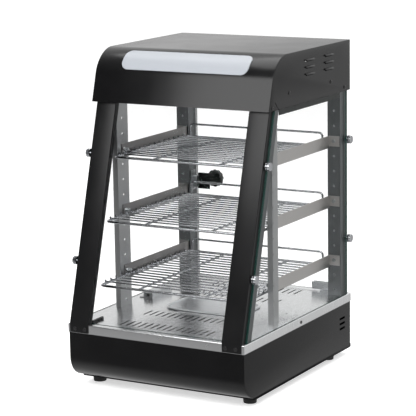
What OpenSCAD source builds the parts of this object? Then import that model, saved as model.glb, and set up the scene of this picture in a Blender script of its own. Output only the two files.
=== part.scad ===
// Countertop hot food display case: heated base with a lift-out water pan, three wire shelves
// on bolted arms, glass on four sides, a hinged glass door at the rear and a lit hood.
// Frame: X to the right of someone facing the front, Y towards the rear, Z up, floor at Z = 0.

/* [Case] */
// Width over the deck and the hood
case_w = 370; // [330:1:460]
// Depth of the deck
case_d = 443; // [400:1:520]
// Height of the base casing, from its underside to the deck's top
base_h = 106; // [95:1:130]
// Height of the glazed chamber, from the deck's top to the hood
chamber_h = 400; // [370:1:500]
// Height of the hood
hood_h = 96; // [84:1:125]
// Lean of the sloping front, from the vertical
lean = 16; // [12:0.5:17]
// Thickness of the painted and stainless sheet
sheet = 1.2; // [1:0.1:1.5]

/* [Base] */
// Radius of the base's curved lower front edge
base_curve_r = 42; // [20:1:50]
// Height of the deck's folded lip
lip_h = 16.5; // [12:0.5:22]
// Height of a foot
foot_h = 18; // [10:1:30]
// Diameter of a foot at the floor
foot_dia = 27; // [20:1:34]

/* [Deck] */
// Width of the water pan over its rim
pan_w = 170; // [120:1:190]
// Depth of the water pan over its rim, front to back
pan_l = 106; // [80:1:120]
// Inside depth of the water pan
pan_depth = 34; // [20:1:38]
// Number of warm-air slots in one row
slot_count = 15; // [9:2:17]
// Width of one warm-air slot
slot_w = 3.5; // [2.5:0.5:5]

/* [Frame] */
// Thickness of the stainless posts, arms and angles
post_t = 1.5; // [1.2:0.1:2]
// Height of a shelf arm
arm_h = 23.5; // [18:0.5:30]
// Pitch of the holes in the posts
hole_pitch = 29.15; // [25:0.05:32]
// Number of hole pitches between two shelf levels
level_holes = 4; // [3:1:4]

/* [Glass] */
// Thickness of the front and side panes
pane_t = 4; // [3:0.5:5]
// Thickness of the door pane
door_t = 5; // [4:0.5:6]
// Diameter of the caps that hold the side panes
cap_dia = 16; // [12:1:20]

/* [Hood] */
// Radius of the curve from the hood's front to its roof
hood_curve_r = 60; // [45:1:64]
// Length of the light lens
lens_w = 264; // [180:1:290]
// Lowest angle of the lens on the hood's curve
lens_low = 24.4; // [22:0.2:32]
// Highest angle of the lens on the hood's curve
lens_high = 68.4; // [58:0.2:74]

/* [Shelves] */
// Diameter of a shelf's frame rod
rod_dia = 5; // [4:0.5:6]
// Diameter of a shelf's cross wires
wire_dia = 3; // [2:0.5:4]
// Pitch of the cross wires
wire_pitch = 18.5; // [12:0.5:24]
// Height of a shelf's back rail above its frame
rail_h = 25; // [15:1:40]

/* [Controls] */
// Diameter of the thermostat knob
dial_dia = 40; // [30:1:48]
// Diameter of the door knob
knob_dia = 31; // [24:1:36]
// Diameter of the thermostat shaft
shaft_dia = 6; // [5:0.5:8]
// Diameter of the door's hinge pins
pin_dia = 6; // [5:0.5:7]

/* [Hidden] */
$fn = 48;

LEFT = -1;
RIGHT = 1;
SIDES = [LEFT, RIGHT];
EPS = 0.01;

// Clearances
fold_gap = 0.3;      // between sheet parts that slide past each other
rest_gap = 0.3;      // under a loose part that rests on the case
pin_gap = 0.05;      // radial, in a running fit
hole_gap = 0.2;      // radial, round a fixed screw or bolt
swing_gap = 3;       // round the edges of the door

// Heights
base_z = foot_h;
deck_z = base_z + base_h;
hood_z = deck_z + chamber_h;
roof_z = hood_z + hood_h;
ceiling_z = hood_z + post_t;

// Depths, measured in the deck's own frame with its middle at Y = 0
deck_front = -case_d / 2;
deck_rear = case_d / 2;
hood_rear_y = deck_rear - 4.6;
half_w = case_w / 2;
base_half_w = half_w - sheet - fold_gap;
base_front = deck_front + sheet + fold_gap;
base_rear = deck_rear - sheet - fold_gap;

// Sloping front: the outer face of the post covers at a height z
slope = tan(lean);
tab_t = post_t;
function front_y(z) = deck_front - tab_t + (z - deck_z) * slope;

// Post covers and panes
cover_w = 41;
cover_depth = 13;
lip_margin = 0.2;
glass_out = half_w - lip_margin;
glass_in = glass_out - pane_t;
frame_half_w = glass_in - fold_gap;
cover_out = frame_half_w;
cover_in = cover_out - cover_w;
pane_y = cover_depth + fold_gap;
pane_run = pane_t / cos(lean);
angle_y = pane_y + pane_run + fold_gap;
angle_leg = 19;
angle_front_leg = 21;
pane_top = ceiling_z - fold_gap;
side_pane_top = hood_z - fold_gap;
pane_foot = deck_z + fold_gap;

// Rear posts: channels open to the rear
rear_post_w = 27;
rear_post_d = 31;
rear_post_y = hood_rear_y - 3 - rear_post_d;
rear_post_in = frame_half_w - rear_post_w;
rear_hole_x = frame_half_w - rear_post_w / 2;

// Front posts: angles with a narrow outward return
arm_out = rear_post_in + 4.5;
front_post_leg = 40;
front_post_return = 11;
front_post_y = front_y(hood_z) + 30;
first_hole_z = hood_z - 96.2;
hole_dia = 4.4;
bolt_dia = 4;
function level_z(i) = first_hole_z - i * level_holes * hole_pitch;

// Shelf arms
arm_flange = 10;
arm_tab_w = 21;
arm_tab_h = 20;
arm_front_y = front_post_y + 14;
arm_rise = 9.8;
function arm_top(i) = level_z(i) + arm_rise;
function arm_seat(i) = arm_top(i) - arm_h + post_t;

// Shelves
shelf_rear_y = rear_post_y - 7;
shelf_glass_gap = [22, 22, 29];
shelf_half_w = arm_out - post_t - 2.5 - rod_dia / 2;
rail_dia = 4;
rail_half_w = shelf_half_w - 5.5;
rail_bend = 7;
rod_bend = 9;
wire_rise = 3;
function shelf_z(i) = arm_seat(i) + rest_gap + rod_dia / 2;
function shelf_front_y(i) = front_y(shelf_z(i)) + angle_y + shelf_glass_gap[i];

// Deck cuts
slot_pitch = 13;
slot_rows = [[-190, 34], [-106, 33], [74, 34], [158, 36]];
pan_corner_r = 30;
pan_rim_w = 6;
pan_rim_h = 3.5;
pan_wall = 1;
pan_hole_gap = 1.5;
lip_hole_dia = 5;
DECK_HOLES = [[148, 14, 5], [158, 33, 3]];  // at the right of the pan, as X, Y and diameter

// Feet
foot_x = half_w - 25;
foot_front_y = deck_front + 66;
foot_rear_y = deck_rear - 56;
foot_recess = 8;
foot_screw_dia = 5;
FOOT_PLACES = [for (s = SIDES, y = [foot_front_y, foot_rear_y]) [s * foot_x, y]];

// Heater
element_dia = 8;
element_half_l = 95;
element_half_w = 34;
element_z = deck_z - pan_depth - 16;
shield_z = base_z + 26;
shield_half_w = 128;
shield_half_l = 90;

// Rear controls, as heights and places on the rear panel
panel_y = base_rear - sheet;
control_z = base_z + base_h / 2 - 4;
dial_x = 78;
heat_switch_x = 18;
light_switch_x = -26;
pilot_x = -66;
gland_x = -132;
dial_h = 17;
dial_stand = 1.5;
rocker_w = 13;
rocker_h = 22;
bezel_w = 21;
bezel_h = 28;
rocker_r = 30;
rocker_tilt = 7;
gland_bore = 8;
gland_dia = 20;

// Door
door_half_w = rear_post_in - swing_gap;
door_y = hood_rear_y - 8;
door_z = deck_z + swing_gap;
door_top = ceiling_z - swing_gap;
pin_x = door_half_w - 6.5;
pin_y = door_y + door_t / 2;
clamp_l = 43;
clamp_h = 14;
clamp_t = 3.2;
clamp_notch = 7;
pin_len = 5;
bracket_t = 2;
knob_x = -door_half_w + 30;
knob_z = hood_z - 197;
plate_w = 32;
plate_h = 38;
plate_t = 3;
knob_neck = 9;
knob_disc = 14;
rear_reach = max(door_y + door_t + knob_neck + knob_disc, base_rear + dial_stand + dial_h);

// Hood
hood_front_y = front_y(hood_z) - 11;
curve_z = roof_z - hood_curve_r;
curve_start_z = curve_z + hood_curve_r * sin(lean);
curve_y = hood_front_y + (curve_start_z - hood_z) * slope + hood_curve_r * cos(lean);
lens_mid = (lens_low + lens_high) / 2;
lens_chord = 2 * hood_curve_r * sin((lens_high - lens_low) / 2);
lens_t = 2;
lens_proud = 0.4;
lens_corner_r = 14;
lens_gap = 0.25;
louvre_l = 34;
louvre_pitch = 13;
louvre_h = 6;
lamp_dia = 16;
lamp_len = lens_w - 14;
lamp_y = curve_y - 12;
lamp_z = curve_z - 4;

// The whole case is shifted in Y so that its bounding box is centred on the origin
front_reach = tab_t + 1.2;
case_y = -(rear_reach - (-deck_front + front_reach)) / 2;

// ---------- shared shapes ----------

// A prism with an outline in Y and Z, from x0 to x1
module yz_prism(x0, x1) {
  translate([x0, 0, 0]) rotate([90, 0, 90]) linear_extrude(x1 - x0) children();
}

// A prism on one side of the case, from |x| = x0 to |x| = x1
module side_prism(side, x0, x1) {
  yz_prism(side > 0 ? x0 : -x1, side > 0 ? x1 : -x0) children();
}

// A box on one side of the case, between two values of |x|
module side_box(side, x0, x1, y0, y1, z0, z1) {
  translate([side > 0 ? x0 : -x1, y0, z0]) cube([x1 - x0, y1 - y0, z1 - z0]);
}

module box(x0, x1, y0, y1, z0, z1) {
  translate([x0, y0, z0]) cube([x1 - x0, y1 - y0, z1 - z0]);
}

module rounded_rect(w, h, r) {
  square([w - 2 * r, h], center = true);
  square([w, h - 2 * r], center = true);
  for (x = [-1, 1], y = [-1, 1]) translate([x * (w / 2 - r), y * (h / 2 - r)]) circle(r);
}

// A slot of length l along the second axis, with round ends
module slot_2d(w, l) {
  square([w, l - w], center = true);
  for (s = [-1, 1]) translate([0, s * (l - w) / 2]) circle(w / 2);
}

// Cylinders along X and Y, starting at the origin
module x_cylinder(d, l) { rotate([0, 90, 0]) cylinder(d = d, h = l); }
module y_cylinder(d, l) { rotate([-90, 0, 0]) cylinder(d = d, h = l); }

// A strip that follows the sloping front, between two depths behind the covers' face
module lean_strip(y0, y1, z0, z1) {
  polygon([
    [front_y(z0) + y0, z0], [front_y(z0) + y1, z0],
    [front_y(z1) + y1, z1], [front_y(z1) + y0, z1]
  ]);
}

// ---------- base ----------

// Side outline of the base, moved inwards by inset
module base_outline(inset) {
  r = base_curve_r;
  top = deck_z - sheet;
  translate([base_front + inset, base_z + r]) square([base_rear - base_front - 2 * inset, top - base_z - r]);
  translate([base_front + r, base_z + inset]) square([base_rear - base_front - r - inset, top - base_z - inset]);
  translate([base_front + r, base_z + r]) circle(r - inset);
}

vent_l = 23;
vent_h = 4.5;
vent_pitch = 10;
vent_y = base_rear - 36;
module vent_slots() {
  for (side = SIDES, i = [-1:1])
    side_prism(side, base_half_w - 5, base_half_w + 5)
      translate([vent_y, base_z + base_h / 2 - 1 + i * vent_pitch]) rotate(90) slot_2d(vent_h, vent_l);
}

module base_shell() {
  color("#1b1b1c")
  difference() {
    yz_prism(-base_half_w, base_half_w) base_outline(0);
    yz_prism(-base_half_w + sheet, base_half_w - sheet) {
      base_outline(sheet);
      translate([base_front + base_curve_r, base_z - 1]) square([case_d, base_curve_r]);
      translate([base_front + base_curve_r, base_z + 10]) square([case_d, base_h + 10]);
      translate([base_front + sheet, base_z + base_curve_r]) square([case_d, base_h]);
    }
    vent_slots();
  }
}

cooling_slot_l = 50;
cooling_slot_pitch = 22;
cooling_slot_y = [-70, 40];
module bottom_plate() {
  y0 = base_front + base_curve_r + fold_gap;
  y1 = panel_y - fold_gap;
  color("#8d8f90")
  difference() {
    union() {
      box(-base_half_w + sheet, base_half_w - sheet, y0, y1, base_z, base_z + sheet);
      for (side = SIDES)
        side_box(side, base_half_w - 2 * sheet, base_half_w - sheet, y0, y1, base_z, base_z + 12);
    }
    for (p = FOOT_PLACES) translate([p[0], p[1], base_z - 1]) cylinder(d = foot_screw_dia + 2 * hole_gap, h = 5);
    for (i = [-4:4], y = cooling_slot_y)
      translate([i * cooling_slot_pitch, y, base_z - 1]) linear_extrude(5) slot_2d(5, cooling_slot_l);
  }
}

module feet() {
  color("#161616")
  for (p = FOOT_PLACES) translate([p[0], p[1], 0])
    difference() {
      cylinder(d1 = foot_dia - 3, d2 = foot_dia, h = foot_h);
      translate([0, 0, -1]) cylinder(d = 12, h = foot_recess + 1);
      cylinder(d = foot_screw_dia + 2 * hole_gap, h = foot_h + 1);
    }
}

// Screws through the feet into nuts on the bottom plate
module base_screws() {
  head_h = 3;
  color("#c9cbcc")
  for (p = FOOT_PLACES) translate([p[0], p[1], 0]) {
    translate([0, 0, foot_recess - head_h]) cylinder(d = 9, h = head_h);
    translate([0, 0, foot_recess]) cylinder(d = foot_screw_dia, h = foot_h - foot_recess + 6);
    translate([0, 0, base_z + sheet]) cylinder(d = 9, h = 4, $fn = 6);
  }
}

module deck_slots() {
  for (row = slot_rows, i = [0:slot_count - 1])
    translate([(i - (slot_count - 1) / 2) * slot_pitch, row[0] + row[1] / 2, deck_z - 5])
      linear_extrude(10) slot_2d(slot_w, row[1]);
}

module deck() {
  lip_z = deck_z - lip_h;
  color("#c3c5c6")
  difference() {
    box(-half_w, half_w, deck_front, deck_rear, lip_z, deck_z);
    box(-half_w + sheet, half_w - sheet, deck_front + sheet, deck_rear - sheet, lip_z - 1, deck_z - sheet);
    deck_slots();
    translate([0, 0, deck_z - 5]) linear_extrude(10)
      rounded_rect(pan_w - 2 * pan_rim_w + 2 * pan_hole_gap, pan_l - 2 * pan_rim_w + 2 * pan_hole_gap,
                   pan_corner_r - pan_rim_w + pan_hole_gap);
    for (side = SIDES)
      side_prism(side, half_w - 3, half_w + 3) translate([2.5, deck_z - lip_h / 2 - 1]) circle(d = lip_hole_dia);
    for (hole = DECK_HOLES) translate([hole[0], hole[1], deck_z - 5]) cylinder(d = hole[2], h = 10);
    translate([probe_x, probe_y1 - 8, deck_z - 5]) cylinder(d = capillary_dia + 2, h = 10);
  }
}

module water_pan() {
  rim_z = deck_z + rest_gap;
  color("#d3d5d6") {
    difference() {
      translate([0, 0, rim_z]) linear_extrude(pan_rim_h) rounded_rect(pan_w, pan_l, pan_corner_r);
      translate([0, 0, rim_z - 1]) linear_extrude(pan_rim_h + 2)
        rounded_rect(pan_w - 2 * pan_rim_w, pan_l - 2 * pan_rim_w, pan_corner_r - pan_rim_w);
    }
    difference() {
      translate([0, 0, rim_z - pan_depth]) linear_extrude(pan_depth + pan_rim_h)
        rounded_rect(pan_w - 2 * pan_rim_w + EPS, pan_l - 2 * pan_rim_w + EPS, pan_corner_r - pan_rim_w);
      translate([0, 0, rim_z - pan_depth + pan_wall]) linear_extrude(pan_depth + pan_rim_h)
        rounded_rect(pan_w - 2 * pan_rim_w - 2 * pan_wall, pan_l - 2 * pan_rim_w - 2 * pan_wall,
                     pan_corner_r - pan_rim_w - pan_wall);
    }
  }
}

// ---------- heater and wiring ----------

module heating_element() {
  color("#6d6a66")
  translate([0, 0, element_z]) {
    for (s = [-1, 1]) translate([-element_half_l, s * element_half_w, 0]) x_cylinder(element_dia, 2 * element_half_l);
    translate([-element_half_l, 0, 0]) rotate([0, 0, 90])
      rotate_extrude(angle = 180) translate([element_half_w, 0]) circle(d = element_dia);
    for (s = [-1, 1]) translate([element_half_l, s * element_half_w, 0]) {
      x_cylinder(element_dia + 4, 4);
      x_cylinder(4, 16);
    }
  }
}

module element_brackets() {
  color("#b9bbbc")
  for (x = [-60, 60])
    difference() {
      union() {
        box(x - 6, x + 6, -element_half_w - 12, element_half_w + 12, shield_z + sheet, shield_z + 2 * sheet);
        box(x - post_t / 2, x + post_t / 2, -element_half_w - 12, element_half_w + 12, shield_z + sheet, element_z + 8);
      }
      for (s = [-1, 1]) translate([x - 5, s * element_half_w, element_z]) x_cylinder(element_dia + 4 * EPS, 10);
    }
}

module heat_shield() {
  color("#b4b6b7")
  difference() {
    box(-shield_half_w, shield_half_w, -shield_half_l, shield_half_l, base_z + sheet, shield_z + sheet);
    box(-shield_half_w + sheet, shield_half_w - sheet, -shield_half_l - 1, shield_half_l + 1, base_z, shield_z);
  }
}

bulb_dia = 6.4;
capillary_dia = 2;
probe_x = -150;
probe_y0 = 8;
probe_y1 = 82;
bulb_z = deck_z + 6;

module thermostat() {
  y1 = panel_y;
  color("#d8d4c8")
  difference() {
    union() {
      box(dial_x - 20, dial_x + 20, y1 - 30, y1 - 2, control_z - 16, control_z + 16);
      translate([dial_x, y1 - 3, control_z]) y_cylinder(12, 3 - EPS);
    }
    translate([dial_x, y1 - 31, control_z]) y_cylinder(shaft_dia + 2 * pin_gap, 40);
  }
}

// Bulb of the thermostat under its guard on the deck, with the capillary down to the thermostat
module sensing_bulb() {
  end_y = probe_y1 - 8;
  low_z = control_z - 10;
  run_y = panel_y - 36;
  end_x = dial_x - 10;
  color("#b87d4b") {
    translate([probe_x, probe_y0 + 8, bulb_z]) y_cylinder(bulb_dia, end_y - probe_y0 - 16);
    translate([probe_x, end_y - 9, bulb_z]) y_cylinder(capillary_dia, 9);
    translate([probe_x, end_y, low_z]) cylinder(d = capillary_dia, h = bulb_z - low_z);
    translate([probe_x, end_y, low_z]) y_cylinder(capillary_dia, run_y - end_y);
    translate([probe_x, run_y, low_z]) x_cylinder(capillary_dia, end_x - probe_x);
    translate([end_x, run_y, low_z]) y_cylinder(capillary_dia, 6);
    for (p = [[probe_x, end_y, bulb_z], [probe_x, end_y, low_z], [probe_x, run_y, low_z], [end_x, run_y, low_z]])
      translate(p) sphere(d = capillary_dia);
  }
}

// Folded guard over the bulb, with a flange on the deck and a pierced plate at its front end
module probe_guard() {
  w = 20;
  h = 11;
  color("#c6c8c9")
  difference() {
    union() {
      difference() {
        box(probe_x - w / 2, probe_x + w / 2, probe_y0, probe_y1, deck_z, deck_z + h);
        box(probe_x - w / 2 + post_t, probe_x + w / 2 - post_t, probe_y0 - 1, probe_y1 + 1, deck_z - 1, deck_z + h - post_t);
      }
      box(probe_x - w / 2, probe_x + w / 2, probe_y0, probe_y0 + post_t, deck_z, deck_z + h);
      box(probe_x - w / 2 - 9, probe_x - w / 2 + post_t, probe_y0, probe_y1, deck_z, deck_z + post_t);
    }
    translate([probe_x, probe_y0 - 1, bulb_z]) y_cylinder(bulb_dia, 4);
    for (y = [probe_y0 + 10, probe_y1 - 10])
      translate([probe_x - w / 2 - 4.5, y, deck_z - 1]) cylinder(d = 4, h = 5);
  }
}

module terminal_block() {
  color("#e6e4dc")
  difference() {
    box(-118, -70, 150, 168, base_z + sheet, base_z + 22);
    for (i = [0:3]) translate([-112 + i * 12, 159, base_z + 12]) cylinder(d = 6, h = 20);
  }
}

// ---------- rear controls ----------

module rear_panel() {
  color("#1b1b1c")
  difference() {
    box(-base_half_w + sheet, base_half_w - sheet, panel_y, base_rear, base_z, deck_z - sheet);
    translate([dial_x, panel_y - 1, control_z]) y_cylinder(shaft_dia + 3, 5);
    for (x = [heat_switch_x, light_switch_x])
      box(x - bezel_w / 2 + 2, x + bezel_w / 2 - 2, panel_y - 1, base_rear + 1,
          control_z - bezel_h / 2 + 2, control_z + bezel_h / 2 - 2);
    translate([pilot_x, panel_y - 1, control_z]) y_cylinder(8 + 2 * hole_gap, 5);
    translate([gland_x, panel_y - 1, control_z]) y_cylinder(14 + 2 * hole_gap, 5);
  }
}

// Knob turned from one piece with a skirt, a grip bar and its shaft
module thermostat_knob() {
  y0 = base_rear + dial_stand;
  color("#141414")
  difference() {
    union() {
      translate([dial_x, y0, control_z]) y_cylinder(dial_dia, 5);
      translate([dial_x, y0, control_z]) y_cylinder(dial_dia - 12, dial_h);
      box(dial_x - 3.5, dial_x + 3.5, y0, y0 + dial_h, control_z - dial_dia / 2 + 3, control_z + dial_dia / 2 - 3);
      translate([dial_x, panel_y - 26, control_z]) y_cylinder(shaft_dia, y0 - panel_y + 27);
    }
    box(dial_x - 0.6, dial_x + 0.6, y0 + dial_h - 0.6, y0 + dial_h + 1, control_z + 4, control_z + dial_dia / 2);
  }
}

// Frames of the two rocker switches, each with a box behind the panel
module switch_housings() {
  color("#1d1d1d")
  for (x = [heat_switch_x, light_switch_x])
    difference() {
      union() {
        box(x - bezel_w / 2, x + bezel_w / 2, base_rear, base_rear + 2, control_z - bezel_h / 2, control_z + bezel_h / 2);
        box(x - bezel_w / 2 + 2.3, x + bezel_w / 2 - 2.3, panel_y - 22, base_rear + EPS,
            control_z - bezel_h / 2 + 2.3, control_z + bezel_h / 2 - 2.3);
      }
      box(x - rocker_w / 2 - 0.4, x + rocker_w / 2 + 0.4, panel_y - 18, base_rear + 5,
          control_z - rocker_h / 2 - 0.4, control_z + rocker_h / 2 + 0.4);
      translate([x - rocker_w / 2 - 1.4, rocker_axis_y, control_z]) x_cylinder(2 + 2 * pin_gap, rocker_w + 2.8);
    }
}

rocker_axis_y = base_rear - 2;
module rocker(x) {
  intersection() {
    translate([x - rocker_w / 2, rocker_axis_y - 4, control_z]) rotate([rocker_tilt, 0, 0])
      difference() {
        translate([0, -3, -rocker_h / 2 + 0.6]) cube([rocker_w, 14, rocker_h - 1.2]);
        translate([-1, 9.5 + rocker_r, 0]) x_cylinder(2 * rocker_r, rocker_w + 2);
      }
    translate([x - rocker_w / 2 - 1, rocker_axis_y, control_z]) x_cylinder(rocker_h - 0.6, rocker_w + 2);
  }
  translate([x - rocker_w / 2 - 1.1, rocker_axis_y, control_z]) x_cylinder(2, rocker_w + 2.2);
}

module heat_rocker() { color("#b5211c") rocker(heat_switch_x); }
module light_rocker() { color("#1f7a39") rocker(light_switch_x); }

module pilot_lamp() {
  color("#d8452e") {
    translate([pilot_x, panel_y - 14, control_z]) y_cylinder(8, 16);
    translate([pilot_x, base_rear, control_z]) y_cylinder(11, 2);
    translate([pilot_x, base_rear + 2 - EPS, control_z]) y_cylinder(8, 3);
  }
}

module cable_gland() {
  color("#202020")
  difference() {
    union() {
      translate([gland_x, base_rear, control_z]) y_cylinder(gland_dia, 6);
      translate([gland_x, base_rear + 6 - EPS, control_z]) y_cylinder(gland_dia - 4, 9);
      translate([gland_x, panel_y - 10, control_z]) y_cylinder(14, 14);
      translate([gland_x, panel_y - 6, control_z]) rotate([-90, 0, 0]) cylinder(d = gland_dia, h = 6, $fn = 6);
    }
    translate([gland_x, panel_y - 12, control_z]) y_cylinder(gland_bore, 40);
  }
}

// ---------- frame ----------

module post_holes(z0, z1) {
  count = floor((first_hole_z - z0) / hole_pitch);
  over = floor((z1 - first_hole_z) / hole_pitch);
  for (i = [-over:count]) translate([0, 0, first_hole_z - i * hole_pitch]) children();
}

module front_post(side) {
  color("#a9abad")
  difference() {
    union() {
      side_box(side, arm_out, arm_out + post_t, front_post_y, front_post_y + front_post_leg, deck_z, ceiling_z);
      side_box(side, arm_out, arm_out + front_post_return, front_post_y, front_post_y + post_t, deck_z, ceiling_z);
    }
    post_holes(deck_z + 12, hood_z - 10)
      translate([side * arm_out - 5, front_post_y + front_post_leg / 2, 0]) x_cylinder(hole_dia, 10);
  }
}

module rear_post(side) {
  color("#9c9ea0")
  difference() {
    side_box(side, rear_post_in, frame_half_w, rear_post_y, rear_post_y + rear_post_d, deck_z, ceiling_z);
    side_box(side, rear_post_in + post_t, frame_half_w - post_t, rear_post_y + post_t,
             rear_post_y + rear_post_d + 1, deck_z - 1, ceiling_z + 1);
    post_holes(deck_z + 12, hood_z - 10)
      translate([side * rear_hole_x, rear_post_y - 1, 0]) y_cylinder(hole_dia, 5);
    for (z = cap_heights) translate([side > 0 ? frame_half_w - 5 : -frame_half_w - 1, cap_rear_y, z]) x_cylinder(5 + 2 * hole_gap, 6);
  }
}

module shelf_arm(side, i) {
  top = arm_top(i);
  hole_y = front_post_y + front_post_leg / 2;
  color("#bcbec0")
  difference() {
    union() {
      side_box(side, arm_out - post_t, arm_out, arm_front_y, rear_post_y, top - arm_h, top);
      side_box(side, arm_out - arm_flange, arm_out, arm_front_y + 3, shelf_rear_y + 6, top - arm_h, top - arm_h + post_t);
      side_box(side, arm_out - post_t, arm_out + arm_tab_w, rear_post_y - post_t, rear_post_y, top - arm_tab_h, top);
    }
    translate([side * arm_out - 5, hole_y, level_z(i)]) x_cylinder(hole_dia, 10);
    translate([side * rear_hole_x, rear_post_y - 4, level_z(i)]) y_cylinder(hole_dia, 6);
  }
}

module bolt() {
  translate([0, 0, -1.8]) cylinder(d = 7.5, h = 1.8);
  translate([0, 0, -EPS]) cylinder(d = bolt_dia, h = 2 * post_t + 5);
  translate([0, 0, 2 * post_t]) cylinder(d = 7.5, h = 3, $fn = 6);
}

module arm_bolts() {
  hole_y = front_post_y + front_post_leg / 2;
  color("#d0d2d3")
  for (side = SIDES, i = [0:2]) {
    translate([side * rear_hole_x, rear_post_y - post_t, level_z(i)]) rotate([-90, 0, 0]) bolt();
    translate([side * (arm_out - post_t), hole_y, level_z(i)]) rotate([0, side * 90, 0]) bolt();
  }
}

module top_rail(side) {
  y0 = front_y(hood_z) + angle_y + angle_leg + 1;
  y1 = rear_post_y - 1;
  color("#232324") {
    side_box(side, frame_half_w - post_t, frame_half_w, y0, y1, hood_z - 12, ceiling_z);
    side_box(side, frame_half_w - 9, frame_half_w, y0, y1, ceiling_z - post_t, ceiling_z);
  }
}

// ---------- sloping front ----------

module post_cover(side) {
  lip_z = deck_z - lip_h;
  run = post_t / cos(lean);
  color("#1c1c1d")
  difference() {
    union() {
      side_prism(side, cover_in, cover_out) lean_strip(0, run, deck_z, ceiling_z);
      side_prism(side, cover_in, cover_in + post_t) lean_strip(0, cover_depth, deck_z, ceiling_z);
      side_prism(side, cover_out - post_t, cover_out) lean_strip(0, cover_depth, deck_z, ceiling_z);
      side_box(side, cover_in, cover_out - 2, deck_front - tab_t, deck_front, lip_z + 1, deck_z);
    }
    for (z = cap_heights)
      translate([side > 0 ? cover_out - 5 : -cover_out - 1, front_y(z) + cap_inset, z]) x_cylinder(5 + 2 * hole_gap, 6);
    for (x = cover_screw_x)
      translate([side * x, deck_front - tab_t - 1, deck_z - lip_h / 2]) y_cylinder(hole_dia, 5);
  }
}

cover_screw_x = [cover_in + 8, cover_out - 12];
module cover_screws() {
  color("#3a3b3c")
  for (side = SIDES, x = cover_screw_x)
    translate([side * x, deck_front - tab_t - 1.2, deck_z - lip_h / 2]) {
      y_cylinder(7, 1.2);
      y_cylinder(bolt_dia, 1.2 + tab_t - EPS);
    }
}

module sloping_angle(side) {
  run = post_t / cos(lean);
  color("#a4a6a8") {
    side_prism(side, frame_half_w - post_t, frame_half_w)
      lean_strip(angle_y, angle_y + angle_leg, deck_z, ceiling_z);
    side_prism(side, frame_half_w - angle_front_leg, frame_half_w)
      lean_strip(angle_y, angle_y + run, deck_z, ceiling_z);
  }
}

module front_glass() {
  color([0.8, 0.9, 0.88, 0.3])
  yz_prism(-frame_half_w + 2, frame_half_w - 2)
    lean_strip(pane_y, pane_y + pane_run, pane_foot, pane_top);
}

pane_rear_y = rear_post_y + 20;
module side_glass(side) {
  color([0.8, 0.9, 0.88, 0.3])
  side_prism(side, glass_in, glass_out)
    polygon([
      [front_y(pane_foot) + pane_y, pane_foot], [pane_rear_y, pane_foot],
      [pane_rear_y, side_pane_top], [front_y(side_pane_top) + pane_y, side_pane_top]
    ]);
}

// Chrome caps that clamp the side panes' front and rear edges
cap_heights = [deck_z + 111, hood_z - 95.5];
cap_inset = 8;
cap_rear_y = rear_post_y + 26;
cap_h = 7;
module glass_cap(side) {
  mirror([side < 0 ? 1 : 0, 0, 0]) {
    translate([glass_out, 0, 0]) x_cylinder(cap_dia, cap_h - 2);
    translate([glass_out + cap_h - 2 - EPS, 0, 0]) rotate([0, 90, 0]) cylinder(d1 = cap_dia, d2 = cap_dia - 4, h = 2);
    translate([frame_half_w - post_t - 3, 0, 0]) x_cylinder(5, glass_out - frame_half_w + post_t + 3 + EPS);
    translate([frame_half_w - post_t - 3, 0, 0]) x_cylinder(8, 3);
  }
}

module glass_caps() {
  color("#dfe1e3")
  for (side = SIDES, z = cap_heights) {
    translate([0, front_y(z) + cap_inset, z]) glass_cap(side);
    translate([0, cap_rear_y, z]) glass_cap(side);
  }
}

// Black clips on the deck behind the foot of the front pane
module front_glass_clips() {
  clip_h = 5;
  y0 = front_y(deck_z + clip_h) + angle_y;
  color("#161616")
  for (side = SIDES) {
    side_box(side, cover_in + 1, cover_in + 5, y0, y0 + 36, deck_z, deck_z + clip_h);
    side_box(side, cover_in + 1, cover_in + 12, y0 + 8, y0 + 20, deck_z, deck_z + 1.5);
  }
}

// ---------- hood ----------

// Side outline of the hood, moved inwards by inset
module hood_outline(inset) {
  r = hood_curve_r - inset;
  shift = inset / cos(lean);
  intersection() {
    union() {
      translate([curve_y, curve_z]) circle(r);
      polygon([
        [hood_front_y + shift, hood_z],
        [curve_y - r * cos(lean), curve_z + r * sin(lean)],
        [curve_y, curve_z],
        [curve_y, roof_z - inset],
        [hood_rear_y - inset, roof_z - inset],
        [hood_rear_y - inset, hood_z]
      ]);
    }
    translate([hood_front_y - 5, hood_z]) square([hood_rear_y - hood_front_y + 5, hood_h + 1]);
  }
}

// A block along the lens's axis, through the hood's curve, grown by grow
module lens_block(grow) {
  translate([0, curve_y, curve_z]) rotate([90 - lens_mid, 0, 0]) translate([0, 0, hood_curve_r * 0.5])
    linear_extrude(hood_curve_r) rounded_rect(lens_w + 2 * grow, lens_chord + 2 * grow, lens_corner_r + grow);
}

module hood_shell() {
  inner = half_w - sheet - fold_gap;
  color("#242527")
  difference() {
    union() {
      difference() {
        yz_prism(-inner, inner) hood_outline(0);
        yz_prism(-inner - 1, inner + 1) hood_outline(sheet);
        box(-inner - 1, inner + 1, curve_y, hood_rear_y + 1, hood_z - 1, roof_z - sheet);
      }
      box(-inner, inner, hood_front_y + sheet, hood_front_y + 10, hood_z, hood_z + sheet);
    }
    lens_block(lens_gap);
  }
}

module louvre_holes() {
  for (y = [louvre_y, louvre_y + 80.5], i = [0:2])
    translate([0, y + louvre_l / 2, roof_z - 46 + i * louvre_pitch]) children();
}
louvre_y = 26;

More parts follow.
